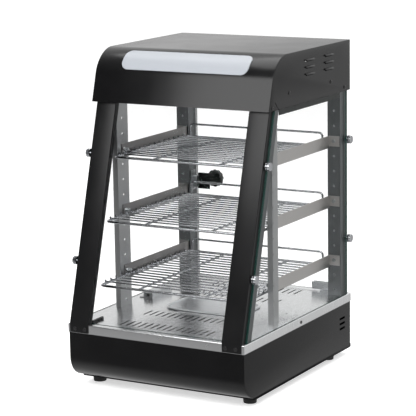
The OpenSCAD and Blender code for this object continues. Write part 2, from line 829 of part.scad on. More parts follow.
module hood_side(side) {
  x0 = half_w - sheet;
  color("#1e1f20")
  difference() {
    union() {
      side_prism(side, x0, half_w) hood_outline(0);
      louvre_holes() louvre_hood(side);
    }
    louvre_holes() side_box(side, half_w - 4, half_w + louvre_out - 1, -louvre_l / 2 + 1.2, louvre_l / 2 - 1.2, -2.6, 0);
    for (p = hood_screw_places)
      translate([side > 0 ? x0 - 1 : -half_w - 1, p[0], p[1]]) x_cylinder(hole_dia, 4);
    side_prism(side, x0 - 1, half_w + 1)
      translate([hood_front_y + 31, hood_z + 7]) rotate(-45) square([22, 1.4], center = true);
  }
}

// One pressed louvre: a low hood over its slot
louvre_out = 3;
module louvre_hood(side) {
  side_box(side, half_w - EPS, half_w + louvre_out, -louvre_l / 2, louvre_l / 2, -1.2, 1.4);
}

hood_screw_places = [
  [curve_y + 8, hood_z + 24.5], [hood_rear_y - 84, hood_z + 24.5],
  [hood_rear_y - 24, hood_z + 7.5], [hood_front_y + 14, hood_z + 5]
];
module hood_screws() {
  color("#2a2a2b")
  for (side = SIDES, p = hood_screw_places)
    translate([0, p[0], p[1]]) mirror([side < 0 ? 1 : 0, 0, 0]) {
      translate([half_w, 0, 0]) x_cylinder(6.5, 1.4);
      translate([half_w - 6, 0, 0]) x_cylinder(bolt_dia, 6 + EPS);
    }
}

module hood_rear() {
  inner = half_w - sheet - fold_gap;
  color("#202122")
  difference() {
    box(-inner, inner, hood_rear_y - sheet, hood_rear_y, hood_z, roof_z - sheet - EPS);
    for (i = [-5:5])
      translate([i * 18, hood_rear_y - 5, hood_z + hood_h * 0.6]) rotate([-90, 0, 0]) linear_extrude(10) slot_2d(5, 36);
  }
}

// Plate that closes the hood from below, with a window under the lamp
module hood_ceiling() {
  inner = half_w - sheet - fold_gap;
  y0 = hood_front_y + 3;
  y1 = hood_rear_y - sheet - fold_gap;
  color("#b9bbbc")
  difference() {
    box(-inner + 3, inner - 3, y0, y1, ceiling_z, ceiling_z + sheet);
    box(-lamp_len / 2, lamp_len / 2, lamp_y - 4, lamp_y + 30, ceiling_z - 1, ceiling_z + 3);
  }
}

// Part of the lens between two radii of the hood's curve
module lens_layer(grow, r0, r1) {
  intersection() {
    lens_block(grow);
    difference() {
      yz_prism(-half_w, half_w) translate([curve_y, curve_z]) circle(r1);
      yz_prism(-half_w - 1, half_w + 1) translate([curve_y, curve_z]) circle(r0);
    }
  }
}

// Diffuser that fills the hood's opening, with a flange behind the sheet
module light_lens() {
  flange = 4;
  back_r = hood_curve_r - sheet;
  color("#dfe3e8") {
    lens_layer(0, back_r - lens_t, hood_curve_r + lens_proud);
    lens_layer(flange, back_r - lens_t, back_r);
  }
}

module lamp_tube() {
  color("#f4f6f8") translate([-lamp_len / 2, lamp_y, lamp_z]) x_cylinder(lamp_dia, lamp_len);
}

module lamp_holders() {
  color("#e8e8e6")
  for (side = SIDES)
    difference() {
      side_box(side, lamp_len / 2 - 8, lamp_len / 2 + 6, lamp_y - 12, lamp_y + 12, ceiling_z + sheet, lamp_z + 12);
      translate([side > 0 ? lamp_len / 2 - 9 : -lamp_len / 2, lamp_y, lamp_z]) x_cylinder(lamp_dia + 4 * EPS, 9);
    }
}

// ---------- door ----------

module clamp_block(z0) {
  box(door_half_w - clamp_l, door_half_w, door_y - clamp_t, door_y + door_t + clamp_t, z0, z0 + clamp_h);
}

module door_glass() {
  notch = clamp_l - 10;
  color([0.8, 0.9, 0.88, 0.3])
  difference() {
    box(-door_half_w, door_half_w, door_y, door_y + door_t, door_z, door_top);
    box(door_half_w - notch, door_half_w + 1, door_y - 1, door_y + door_t + 1, door_z - 1, door_z + clamp_notch);
    box(door_half_w - notch, door_half_w + 1, door_y - 1, door_y + door_t + 1, door_top - clamp_notch, door_top + 1);
    translate([knob_x, door_y - 1, knob_z]) y_cylinder(6 + 2 * hole_gap, door_t + 2);
  }
}

module hinge_clamps() {
  slot_top = door_z + clamp_notch;
  slot_end = door_half_w - clamp_l + 10;
  color("#c4c6c8")
  difference() {
    union() {
      clamp_block(door_z);
      clamp_block(door_top - clamp_h);
      for (x = [8, 24], z = [door_z + 10, door_top - 10])
        translate([door_half_w - clamp_l + x, door_y - clamp_t - 1.5, z]) y_cylinder(6.5, 2);
    }
    box(door_half_w - clamp_l - 1, door_half_w + 1, door_y, door_y + door_t, slot_top, door_top - clamp_notch);
    box(door_half_w - clamp_l - 1, slot_end, door_y, door_y + door_t, door_z - 1, door_top + 1);
    translate([pin_x, pin_y, door_z - 1]) cylinder(d = pin_dia + 2 * pin_gap, h = pin_len + 1.5);
    translate([pin_x, pin_y, door_top - pin_len - 0.5]) cylinder(d = pin_dia + 2 * pin_gap, h = pin_len + 2);
  }
}

// Plates on the deck and under the hood, each with the pin that the door turns on
module hinge_brackets() {
  color("#b0b2b4") {
    box(pin_x - 18, pin_x + 8, pin_y - 9, pin_y + 4, deck_z, deck_z + bracket_t);
    translate([pin_x, pin_y, deck_z + bracket_t - EPS]) cylinder(d = pin_dia, h = swing_gap - bracket_t + pin_len);
    box(pin_x - 18, pin_x + 8, pin_y - 9, pin_y + 4, ceiling_z - bracket_t, ceiling_z);
    translate([pin_x, pin_y, door_top - pin_len]) cylinder(d = pin_dia, h = swing_gap - bracket_t + pin_len + EPS);
  }
}

module door_knob() {
  y1 = door_y + door_t;
  color("#151516") {
    box(-door_half_w + 4, -door_half_w + 4 + plate_w, door_y - plate_t, door_y, knob_z - plate_h / 2, knob_z + plate_h / 2);
    translate([knob_x, door_y - plate_t - 1.6, knob_z]) y_cylinder(8, 2);
    translate([knob_x, door_y - EPS, knob_z]) y_cylinder(6, door_t + 1);
    translate([knob_x, y1, knob_z]) y_cylinder(15, knob_neck + 1);
    translate([knob_x, y1 + knob_neck, knob_z]) rotate([-90, 0, 0]) cylinder(d1 = knob_dia - 5, d2 = knob_dia, h = 3);
    translate([knob_x, y1 + knob_neck + 3 - EPS, knob_z]) y_cylinder(knob_dia, knob_disc - 6);
    translate([knob_x, y1 + knob_neck + knob_disc - 3 - EPS, knob_z]) rotate([-90, 0, 0])
      cylinder(d1 = knob_dia, d2 = knob_dia - 6, h = 3 + EPS);
  }
}

// Magnetic catch on the left rear post, its face against the knob's plate
module door_catch() {
  reach = 10;
  y1 = door_y - plate_t - fold_gap;
  color("#c2c4c6")
  difference() {
    union() {
      box(-rear_post_in, -rear_post_in + 1.5, y1 - 17, y1, knob_z - 20, knob_z + 20);
      box(-rear_post_in, -rear_post_in + reach, y1 - 10, y1, knob_z - 14, knob_z + 8);
    }
    for (z = [-17, 17]) translate([-rear_post_in - 1, y1 - 8, knob_z + z]) x_cylinder(3.4, 4);
  }
}

// ---------- shelves ----------

// Closed frame of rod with rounded corners, lying flat with its centre line at z
module rod_frame(half_x, y0, y1, z, d, bend) {
  for (s = [-1, 1]) translate([s * half_x, y0 + bend, z]) y_cylinder(d, y1 - y0 - 2 * bend);
  for (y = [y0, y1]) translate([-half_x + bend, y, z]) x_cylinder(d, 2 * (half_x - bend));
  for (c = [[half_x - bend, y1 - bend, 0], [-half_x + bend, y1 - bend, 90],
            [-half_x + bend, y0 + bend, 180], [half_x - bend, y0 + bend, 270]])
    translate([c[0], c[1], z]) rotate([0, 0, c[2]]) rotate_extrude(angle = 90) translate([bend, 0]) circle(d = d);
}

// One cross wire along X, its ends turned up outside the frame
module cross_wire(half_x, d, rise) {
  translate([-half_x, 0, 0]) x_cylinder(d, 2 * half_x);
  for (s = [-1, 1]) translate([s * half_x, 0, 0]) {
    sphere(d = d);
    cylinder(d = d, h = rise);
  }
}

module shelf(i) {
  z = shelf_z(i);
  y0 = shelf_front_y(i);
  y1 = shelf_rear_y;
  wire_z = z + rod_dia / 2 + wire_dia / 2 - 0.4;
  count = floor((y1 - y0 - 2 * rod_bend - 4) / wire_pitch);
  first = (y0 + y1 - count * wire_pitch) / 2;
  color("#cfd1d3") {
    rod_frame(shelf_half_w, y0, y1, z, rod_dia, rod_bend);
    for (x = [-70, 70]) translate([x, y0, z]) y_cylinder(rod_dia - 1, y1 - y0);
    for (j = [0:count]) translate([0, first + j * wire_pitch, wire_z])
      cross_wire(shelf_half_w + 1, wire_dia, wire_rise, $fn = 20);
    back_rail(y1, z);
  }
}

module back_rail(y, z) {
  top = z + rail_h;
  for (s = [0, 180]) translate([0, y, z]) rotate([0, 0, s]) {
    translate([rail_half_w, 0, 0]) cylinder(d = rail_dia, h = rail_h - rail_bend);
    translate([rail_half_w - rail_bend, 0, rail_h - rail_bend]) rotate([90, 0, 0])
      rotate_extrude(angle = 90) translate([rail_bend, 0]) circle(d = rail_dia);
  }
  translate([-rail_half_w + rail_bend, y, top]) x_cylinder(rail_dia, 2 * (rail_half_w - rail_bend));
}

// ---------- nodes ----------

module place() { translate([0, case_y, 0]) children(); }

place() base_shell();
place() bottom_plate();
place() rear_panel();
place() deck();
place() water_pan();
place() heating_element();
place() element_brackets();
place() heat_shield();
place() thermostat();
place() sensing_bulb();
place() probe_guard();
place() thermostat_knob();
place() switch_housings();
place() heat_rocker();
place() light_rocker();
place() pilot_lamp();
place() cable_gland();
place() terminal_block();
place() feet();
place() base_screws();
place() front_post(LEFT);  // front_post_left
place() front_post(RIGHT);  // front_post_right
place() rear_post(LEFT);  // rear_post_left
place() rear_post(RIGHT);  // rear_post_right
place() shelf_arm(LEFT, 0);  // shelf_arm_top_left
place() shelf_arm(RIGHT, 0);  // shelf_arm_top_right
place() shelf_arm(LEFT, 1);  // shelf_arm_middle_left
place() shelf_arm(RIGHT, 1);  // shelf_arm_middle_right
place() shelf_arm(LEFT, 2);  // shelf_arm_bottom_left
place() shelf_arm(RIGHT, 2);  // shelf_arm_bottom_right
place() arm_bolts();
place() post_cover(LEFT);  // post_cover_left
place() post_cover(RIGHT);  // post_cover_right
place() sloping_angle(LEFT);  // sloping_angle_left
place() sloping_angle(RIGHT);  // sloping_angle_right
place() cover_screws();
place() front_glass();
place() side_glass(LEFT);  // side_glass_left
place() side_glass(RIGHT);  // side_glass_right
place() glass_caps();
place() front_glass_clips();
place() top_rail(LEFT);  // top_rail_left
place() top_rail(RIGHT);  // top_rail_right
place() hood_shell();
place() hood_side(LEFT);  // hood_side_left
place() hood_side(RIGHT);  // hood_side_right
place() hood_rear();
place() hood_ceiling();
place() hood_screws();
place() light_lens();
place() lamp_tube();
place() lamp_holders();
place() door_glass();
place() door_knob();
place() hinge_clamps();
place() hinge_brackets();
place() door_catch();
place() shelf(0);  // shelf_top
place() shelf(1);  // shelf_middle
place() shelf(2);  // shelf_bottom
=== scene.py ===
# %% [markdown]
# # A countertop hot food display case
# A heated base carries a glazed chamber with three wire shelves and a lit hood. The exact
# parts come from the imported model. This file gives them their finishes, and models the
# pieces that need a maker's eye: folded sheet, thumb nuts, screws, knobs and the pan.

# %% Load the fixed frame
import math

import bmesh
import bpy
from mathutils import Matrix, Vector


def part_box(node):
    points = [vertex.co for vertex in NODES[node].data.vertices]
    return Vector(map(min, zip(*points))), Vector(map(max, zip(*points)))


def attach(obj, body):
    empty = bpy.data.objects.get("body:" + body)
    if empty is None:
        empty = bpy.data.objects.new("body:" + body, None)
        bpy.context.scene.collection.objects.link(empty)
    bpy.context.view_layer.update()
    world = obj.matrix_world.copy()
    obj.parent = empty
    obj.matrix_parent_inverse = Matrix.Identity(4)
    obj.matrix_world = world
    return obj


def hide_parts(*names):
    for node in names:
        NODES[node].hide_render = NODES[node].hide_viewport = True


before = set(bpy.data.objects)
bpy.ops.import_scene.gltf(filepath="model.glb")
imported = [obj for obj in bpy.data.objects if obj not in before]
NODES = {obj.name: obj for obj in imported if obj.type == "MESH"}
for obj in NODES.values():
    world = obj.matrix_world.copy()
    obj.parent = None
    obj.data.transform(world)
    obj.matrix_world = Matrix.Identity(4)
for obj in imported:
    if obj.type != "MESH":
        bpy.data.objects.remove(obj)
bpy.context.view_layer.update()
MM = 0.001
NEAR = 0.1  # in mm: an edge this close to a plane lies in it

# %% [markdown]
# ## Camera
# The case is seen from its right front corner, a little from above and from far away, so
# that upright edges stay nearly parallel. A long lens gives that look.

# %% Camera
camera_data = bpy.data.cameras.new("camera")
camera_data.sensor_width = 36
camera_data.lens = 161.65
camera = bpy.data.objects.new("camera", camera_data)
bpy.context.scene.collection.objects.link(camera)
camera.location = (1.6912, -3.01745, 0.9919)
heading, pitch, roll = 29.45, 78.93, -0.91
aim = (
    Matrix.Rotation(math.radians(heading), 4, "Z")
    @ Matrix.Rotation(math.radians(pitch), 4, "X")
    @ Matrix.Rotation(math.radians(roll), 4, "Z")
)
camera.rotation_euler = aim.to_euler("XYZ")
bpy.context.scene.camera = camera
print("camera, in m:", [round(v, 2) for v in camera.location])

# %% [markdown]
# ## Helpers for materials
# Colours are written as the hex values that a paint chart would give, and turned to the
# linear values that the shader works in. One small function adds a node.

# %% Colour and node helpers
def linear(hex_colour):
    """An sRGB hex colour as the four linear values that a shader socket takes."""
    values = [int(hex_colour[i:i + 2], 16) / 255 for i in (1, 3, 5)]
    return [v / 12.92 if v <= 0.04045 else ((v + 0.055) / 1.055) ** 2.4 for v in values] + [1.0]


def new_material(name):
    """A material with its shader, ready for more nodes."""
    material = bpy.data.materials.new(name)
    material.use_nodes = True
    tree = material.node_tree
    return material, tree, tree.nodes["Principled BSDF"]


def feed(socket, value):
    """Links another node's socket to this one, or sets its value."""
    if isinstance(value, bpy.types.NodeSocket):
        socket.id_data.links.new(value, socket)
    else:
        socket.default_value = value


def add_node(tree, kind, settings=None, **inputs):
    """Adds a node. Settings go on the node. An input is named, or is i and its number."""
    node = tree.nodes.new(kind)
    for key, value in (settings or {}).items():
        setattr(node, key, value)
    for key, value in inputs.items():
        numbered = key[0] == "i" and key[1:].isdigit()
        feed(node.inputs[int(key[1:]) if numbered else key.replace("_", " ")], value)
    return node


def set_shader(shader, **inputs):
    """Feeds a shader's inputs. An underscore in a name stands for a space."""
    for key, value in inputs.items():
        feed(shader.inputs[key.replace("_", " ")], value)


def math_step(tree, operation, first, second):
    """One step of arithmetic between two values."""
    node = add_node(tree, "ShaderNodeMath", {"operation": operation}, i0=first, i1=second)
    return node.outputs["Value"]


def remap(tree, value, from_low, from_high, to_low, to_high):
    """Stretches a value's range on to another range."""
    node = add_node(tree, "ShaderNodeMapRange",
                    i0=value, i1=from_low, i2=from_high, i3=to_low, i4=to_high)
    return node.outputs["Result"]


# %% [markdown]
# A finish is never quite even. Each one gets its grain from noise on the piece's own
# coordinates, so that the grain stays with a piece that moves. Grain sizes are in mm.

# %% Pattern helpers
NOISE_SPAN = (0.3, 0.7)  # nearly all values of the noise lie in here


def object_noise(tree, size_mm, stretch=(1, 1, 1), detail=2.0):
    """Noise with a grain of size_mm, made longer along each axis by its stretch."""
    coords = add_node(tree, "ShaderNodeTexCoord")
    scale = [1 / s for s in stretch]
    mapping = add_node(tree, "ShaderNodeMapping", Vector=coords.outputs["Object"], Scale=scale)
    noise = add_node(tree, "ShaderNodeTexNoise", Vector=mapping.outputs["Vector"],
                     Scale=1 / (size_mm * MM), Detail=detail)
    return noise.outputs["Fac"]


def ramp(tree, factor, low, high, colour_low, colour_high):
    """A blend between two hex colours."""
    node = add_node(tree, "ShaderNodeValToRGB", Fac=factor)
    ends = node.color_ramp.elements
    ends[0].position, ends[1].position = low, high
    ends[0].color, ends[1].color = linear(colour_low), linear(colour_high)
    return node.outputs["Color"]


def bump(tree, height, distance_mm, strength):
    """Relief from a pattern, this deep, as a normal."""
    node = add_node(tree, "ShaderNodeBump",
                    Height=height, Distance=distance_mm * MM, Strength=strength)
    return node.outputs["Normal"]


# %% [markdown]
# ## Powder coated steel
# The base, the hood and the post covers are mild steel with a satin black powder coat. The
# powder melts in an oven and flows out, which leaves a faint orange peel. Noise of 1.4 mm
# makes that peel, and a slow cloud of 60 mm changes the black and the gloss by a hair.

# %% Powder coated steel
PEEL_MM, CLOUD_MM = 1.4, 60


def powder_coat(name, colour_low, colour_high, rough, ior):
    """Black powder between two colours, with a gloss that drifts a little about rough."""
    material, tree, shader = new_material(name)
    peel = object_noise(tree, PEEL_MM)
    cloud = object_noise(tree, CLOUD_MM)
    set_shader(
        shader,
        Base_Color=ramp(tree, cloud, *NOISE_SPAN, colour_low, colour_high),
        Roughness=remap(tree, cloud, *NOISE_SPAN, rough - 0.015, rough + 0.015),
        Normal=bump(tree, peel, 0.02, 0.15),
        IOR=ior,
    )
    return material


# The base is the deepest black: its curved lower edge shows only as a soft line of light.
black_paint = powder_coat(
    "Powder coated steel, satin black base", "#050506", "#09090A", 0.24, 1.34)
# The hood's colour is a little lighter than the base's, as painted sheen; with its higher IOR it
# carries the broad sheen of a light box, and so reads as dark grey.
hood_paint_with_painted_sheen = powder_coat("Powder coated steel, satin black hood, painted sheen", "#09090A", "#0E0E0F", 0.24, 1.42)
# The covers are a little duller, so that their long faces fade from top to bottom.
cover_paint = powder_coat("Powder coated steel, satin black channel", "#0C0C0D", "#131314", 0.3, 1.4)
# Blackened screws show as small grey points on the black sheet.
dark_screw = powder_coat("Blackened steel, screw heads", "#1A1A1B", "#242425", 0.3, 1.5)

# %% [markdown]
# ## Bare metals
# Stainless sheet comes with a brushed face. A belt leaves fine scratches along one
# direction, and they blur reflections across themselves. Noise stretched along the belt's
# way makes them. Plated, drawn and zinc-coated metals use the same recipe with no stretch.

# %% Bare metals
def bare_metal(name, colour, rough, stretch, spread, grain_mm=0.8):
    """Metal whose gloss varies by spread, in grains that are stretched along the brush."""
    material, tree, shader = new_material(name)
    brush = object_noise(tree, grain_mm, stretch, 3.0)
    set_shader(
        shader,
        Base_Color=linear(colour),
        Metallic=1.0,
        Roughness=remap(tree, brush, *NOISE_SPAN, rough - spread, rough + spread),
        Normal=bump(tree, brush, 0.01, 0.25),
    )
    return material


# The deck is the brightest sheet: it mirrors the posts and the shelves softly.
deck_steel = bare_metal("Brushed stainless steel, deck", "#E6E7E8", 0.24, (30, 1, 30), 0.04)
# Drawing a pan polishes it, and the stretched metal shows a wide silky glow.
pan_steel = bare_metal("Drawn stainless steel, pan", "#ECEEF0", 0.32, (30, 1, 1), 0.06)
# The rear posts are coloured darker than the front ones, as painted shade for the dim side of a room
# that they mirror.
rear_post_steel_painted_shade = bare_metal("Satin stainless steel, rear posts, painted shade", "#77797B", 0.34, (1, 1, 12), 0.05)
front_post_steel = bare_metal(
    "Satin stainless steel, front posts", "#B8B9BA", 0.34, (1, 1, 12), 0.05)
angle_steel = bare_metal("Satin stainless steel, angles", "#6C6E70", 0.34, (1, 1, 12), 0.05)
# The arms are the palest bars, brushed from front to rear. The left arms get a darker copy of the
# same steel, as painted shade.
arm_steel = bare_metal("Satin stainless steel, right arms", "#CFCCCA", 0.36, (1, 12, 1), 0.05)
left_arm_steel_painted_shade = bare_metal("Satin stainless steel, left arms, painted shade", "#9C9A99", 0.36, (1, 12, 1), 0.05)
hinge_steel = bare_metal("Satin stainless steel, hinges", "#C4C6C8", 0.3, (12, 1, 1), 0.05)
# Zinc crystals give galvanised sheet a blotchy, dull grey.
galvanised = bare_metal("Hot dip galvanised steel sheet", "#A9ACAE", 0.42, (1, 1, 1), 0.1, 12)
# Chrome gives hard black and white bands on the nuts, and sparkle on the wires.
chrome = bare_metal("Polished chrome plate, nuts", "#B9BBBE", 0.14, (1, 1, 1), 0.02, 4)
wire_chrome = bare_metal("Chrome plated steel wire", "#B9BBBE", 0.16, (1, 1, 1), 0.03, 4)
zinc = bare_metal("Bright zinc plated steel, bolts", "#B5B8BA", 0.3, (1, 1, 1), 0.05, 2)
# The bulb's copper has dulled to a warm brown, and heat has darkened the element's sheath.
copper = bare_metal("Drawn copper, bulb", "#B87A55", 0.3, (1, 1, 1), 0.05, 3)
element_metal = bare_metal("Heat darkened steel, element sheath", "#4A4744", 0.45, (1, 1, 1), 0.08, 3)

# %% [markdown]
# ## Plastics and rubber
# Moulded parts copy the fine spark-eroded grain of their mould: half a millimetre of noise
# in the gloss and the surface. Rubber is the same with a rougher, coarser grain.

# %% Plastics and rubber
def moulded(name, colour, rough, grain_mm=0.5, ior=1.46):
    """One even colour with the fine grain of a mould."""
    material, tree, shader = new_material(name)
    grain = object_noise(tree, grain_mm)
    set_shader(
        shader,
        Base_Color=linear(colour),
        Roughness=remap(tree, grain, *NOISE_SPAN, rough - 0.04, rough + 0.04),
        Normal=bump(tree, grain, 0.01, 0.3),
        IOR=ior,
    )
    return material


# Glossy black for what hands touch: each piece keeps a crisp highlight on its edge.
black_plastic = moulded("Moulded ABS, black", "#0E0E0F", 0.25)
# Cream and white parts sit inside, and only need to look dull and clean.
cream_plastic = moulded("Moulded phenolic, cream", "#CFC8B4", 0.45)
white_plastic = moulded("Moulded polycarbonate, white", "#E3E3E0", 0.4)
# The rockers and the pilot lens are coloured clear through, and look wet.
red_rocker = moulded("Moulded acrylic, red rocker", "#A3161A", 0.22)
green_rocker = moulded("Moulded acrylic, green rocker", "#157A38", 0.22)
red_lens = moulded("Moulded acrylic, red lens", "#C9341F", 0.15)
# The light lens is milky: it is even, pale and faintly blue, and hides the tube.
diffuser = moulded("Extruded opal acrylic, light lens", "#A6AAB0", 0.32)
tube_glass = moulded("Phosphor coated glass, lamp tube", "#EEF0F2", 0.2)
# The feet take all gloss away and end the case in a soft dark edge.
rubber = moulded("Moulded rubber, black", "#101010", 0.65, 0.8, 1.5)

# %% [markdown]
# ## Glass
# Toughened float glass is clear on its faces. Its cut edges are dark green, because they
# are looked along, through a long run of slightly green glass. A face lets most light
# through, takes a few per cent away, and mirrors more at a glancing view.

# %% Glass
EDGE_BELOW = 0.6  # a surface that leans further than this from a face is a cut edge
EDGE_COVER = 0.85
LEAST_MIRROR = 0.08


def pane_glass(name, across, sheen, tint, edge="#183A34"):
    """A pane that is flat across the given direction. What isn't a face is a cut edge."""
    material, tree, shader = new_material(name)
    geometry = add_node(tree, "ShaderNodeNewGeometry")
    own_normal = add_node(
        tree, "ShaderNodeVectorTransform",
        {"vector_type": "NORMAL", "convert_from": "WORLD", "convert_to": "OBJECT"},
        Vector=geometry.outputs["True Normal"],
    )
    along = add_node(tree, "ShaderNodeVectorMath", {"operation": "DOT_PRODUCT"},
                     i0=own_normal.outputs["Vector"], i1=across)
    flatness = math_step(tree, "ABSOLUTE", along.outputs["Value"], 0.0)
    is_edge = math_step(tree, "LESS_THAN", flatness, EDGE_BELOW)
    fresnel = add_node(tree, "ShaderNodeFresnel", IOR=1.5)
    mirror = remap(tree, fresnel.outputs["Fac"], 0.0, 1.0, LEAST_MIRROR, sheen)
    facing_out = math_step(tree, "SUBTRACT", 1.0, geometry.outputs["Backfacing"])
    face_cover = math_step(tree, "MULTIPLY", mirror, facing_out)
    edge_cover = math_step(tree, "MULTIPLY", is_edge, EDGE_COVER)
    set_shader(
        shader,
        Base_Color=ramp(tree, is_edge, 0.0, 1.0, tint, edge),
        Metallic=math_step(tree, "SUBTRACT", 1.0, is_edge),
        Roughness=0.03,
        Alpha=math_step(tree, "MAXIMUM", face_cover, edge_cover),
    )
    return material


# The side panes grey the room behind them a little.
side_pane = pane_glass("Toughened float glass, side panes", (1, 0, 0), 0.4, "#7A8480")
# The leaning pane faces the dark side of the room. Its mirror colour is painted near black as painted
# shade, so it all but vanishes.
lean_pane = pane_glass("Toughened float glass, front pane, painted shade", (0, -0.961, 0.276), 0.1, "#1C2422")
# The door is clear too, with a green rim once it stands open.
door_pane = pane_glass("Toughened float glass, door", (0, 1, 0), 0.55, "#A9B4B0")

# %% [markdown]
# ## Who wears what
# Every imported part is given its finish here. The pieces that are modelled further down get
# theirs when they are done.

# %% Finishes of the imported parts
FINISHES = {
    black_paint: "base_shell rear_panel top_rail_left top_rail_right",
    cover_paint: "post_cover_left post_cover_right",
    hood_paint_with_painted_sheen: "hood_shell hood_side_left hood_side_right hood_rear",
    deck_steel: "deck",
    pan_steel: "water_pan",
    galvanised: "bottom_plate element_brackets heat_shield hood_ceiling",
    rear_post_steel_painted_shade: "rear_post_left rear_post_right",
    front_post_steel: "front_post_left front_post_right",
    angle_steel: "sloping_angle_left sloping_angle_right",
    arm_steel: "shelf_arm_top_right shelf_arm_middle_right shelf_arm_bottom_right",
    left_arm_steel_painted_shade: "shelf_arm_top_left shelf_arm_middle_left shelf_arm_bottom_left",
    hinge_steel: "probe_guard hinge_clamps hinge_brackets door_catch",
    chrome: "glass_caps",
    wire_chrome: "shelf_top shelf_middle shelf_bottom",
    zinc: "arm_bolts base_screws",
    dark_screw: "cover_screws hood_screws",
    black_plastic: "thermostat_knob switch_housings cable_gland door_knob front_glass_clips",
    cream_plastic: "thermostat terminal_block",
    white_plastic: "lamp_holders",
    rubber: "feet",
    red_rocker: "heat_rocker",
    green_rocker: "light_rocker",
    red_lens: "pilot_lamp",
    copper: "sensing_bulb",
    element_metal: "heating_element",
    side_pane: "side_glass_left side_glass_right",
    lean_pane: "front_glass",
    door_pane: "door_glass",
    diffuser: "light_lens",
    tube_glass: "lamp_tube",
}


def paint(obj, material):
    """Gives an object this one material."""
    obj.data.materials.clear()
    obj.data.materials.append(material)


for material, names in FINISHES.items():
    for name in names.split():
        paint(NODES[name], material)
print(len(FINISHES), "finishes on", len(NODES), "packed parts")

# %% [markdown]
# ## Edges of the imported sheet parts
# The posts and angles are cut from sheet, and keep a tiny rounded edge that glints. The
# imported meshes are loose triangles, so they are welded before their edges are rounded.

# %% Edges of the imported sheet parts
WELD_GAP_MM = 0.02
SOFT_WIDTH_MM = 0.4
SHARP_DEGREES = 35


def soften(name):
    """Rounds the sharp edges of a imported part, without touching its mesh."""
    obj = NODES[name]
    weld = obj.modifiers.new("weld", "WELD")
    weld.merge_threshold = WELD_GAP_MM * MM
    bevel = obj.modifiers.new("bevel", "BEVEL")
    bevel.width = SOFT_WIDTH_MM * MM
    bevel.segments = 2
    bevel.limit_method = "ANGLE"
    bevel.angle_limit = math.radians(SHARP_DEGREES)


SOFT_PARTS = (
    "front_post_left front_post_right rear_post_left rear_post_right "
    "sloping_angle_left sloping_angle_right top_rail_left top_rail_right "
    "hinge_clamps hinge_brackets door_catch probe_guard "
    "switch_housings heat_rocker light_rocker"
)
for name in SOFT_PARTS.split():
    soften(name)

# %% [markdown]
# ## Modelling helpers
# Each piece starts as a primitive at its size and place. It is shaped in edit mode on faces
# and edges that are chosen by where they are, and its modifiers are applied. The pieces end
# with their objects at the origin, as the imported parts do.

# %% Modelling helpers
def deselect():
    """Leaves edit mode and selects nothing."""
    if bpy.context.mode != "OBJECT":
        bpy.ops.object.mode_set(mode="OBJECT")
    bpy.ops.object.select_all(action="DESELECT")


def make_active(obj):
    """Makes obj the only one selected."""
    deselect()
    obj.select_set(True)
    bpy.context.view_layer.objects.active = obj


def node_box(name):
    """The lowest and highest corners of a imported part, in mm."""
    low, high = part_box(name)
    return Vector(low) / MM, Vector(high) / MM


def block(name, low, high):
    """A blank between two corners, in mm."""
    deselect()
    low, high = Vector(low) * MM, Vector(high) * MM
    bpy.ops.mesh.primitive_cube_add(size=1, location=(low + high) / 2)
    obj = bpy.context.object
    obj.name = name
    obj.scale = high - low
    bpy.ops.object.transform_apply(location=True, rotation=True, scale=True)
    return obj


def disc(name, centre, radius, depth, axis="Z", sides=48):
    """A round blank that starts at centre and grows by depth along an axis, in mm."""
    deselect()
    turn = {"X": (0, math.pi / 2, 0), "Y": (-math.pi / 2, 0, 0), "Z": (0, 0, 0)}[axis]
    along = {"X": Vector((1, 0, 0)), "Y": Vector((0, 1, 0)), "Z": Vector((0, 0, 1))}[axis]
    middle = (Vector(centre) + along * depth / 2) * MM
    bpy.ops.mesh.primitive_cylinder_add(
        vertices=sides, radius=radius * MM, depth=depth * MM, location=middle, rotation=turn)
    obj = bpy.context.object
    obj.name = name
    bpy.ops.object.transform_apply(location=True, rotation=True, scale=True)
    return obj


def pick(obj, kind, test):
    """Opens obj for editing and selects the faces, edges or vertices that pass the test.
    The test is given the middle of each in mm, and a face's normal or an edge's direction."""
    make_active(obj)
    bpy.ops.object.mode_set(mode="EDIT")
    bpy.ops.mesh.select_mode(type=kind)
    bpy.ops.mesh.select_all(action="DESELECT")
    mesh = bmesh.from_edit_mesh(obj.data)
    if kind == "FACE":
        for face in mesh.faces:
            if test(face.calc_center_median() / MM, face.normal):
                face.select_set(True)
    elif kind == "EDGE":
        for edge in mesh.edges:
            ends = [v.co for v in edge.verts]
            if test((ends[0] + ends[1]) / 2 / MM, (ends[1] - ends[0]).normalized()):
                edge.select_set(True)
    else:
        for vert in mesh.verts:
            if test(vert.co / MM, None):
                vert.select_set(True)
    bmesh.update_edit_mesh(obj.data)


def delete_picked(kind):
    """Deletes the picked faces or vertices."""
    bpy.ops.mesh.delete(type=kind)


def round_edges(radius, steps=3):
    """Gives the picked edges a radius, in mm."""
    bpy.ops.mesh.bevel(offset=radius * MM, segments=steps, affect="EDGES")


def push(x=0, y=0, z=0):
    """Moves what is selected, in mm."""
    bpy.ops.transform.translate(value=(x * MM, y * MM, z * MM))


def pull(x=0, y=0, z=0):
    """Extrudes what is selected, in mm."""
    bpy.ops.mesh.extrude_region_move(TRANSFORM_OT_translate={"value": (x * MM, y * MM, z * MM)})


def inset(width, depth=0, each=False):
    """Insets the picked faces by width and moves them out by depth, in mm."""
    bpy.ops.mesh.inset(thickness=width * MM, depth=depth * MM, use_individual=each)


def apply(obj, kind, **settings):
    """Adds a modifier and applies it at once."""
    make_active(obj)
    modifier = obj.modifiers.new(kind.lower(), kind)
    for key, value in settings.items():
        setattr(modifier, key, value)
    bpy.ops.object.modifier_apply(modifier=modifier.name)


def cut(obj, tool):
    """Cuts the tool's shape out of obj, and throws the tool away."""
    apply(obj, "BOOLEAN", object=tool, operation="DIFFERENCE", solver="EXACT")
    bpy.data.objects.remove(tool)


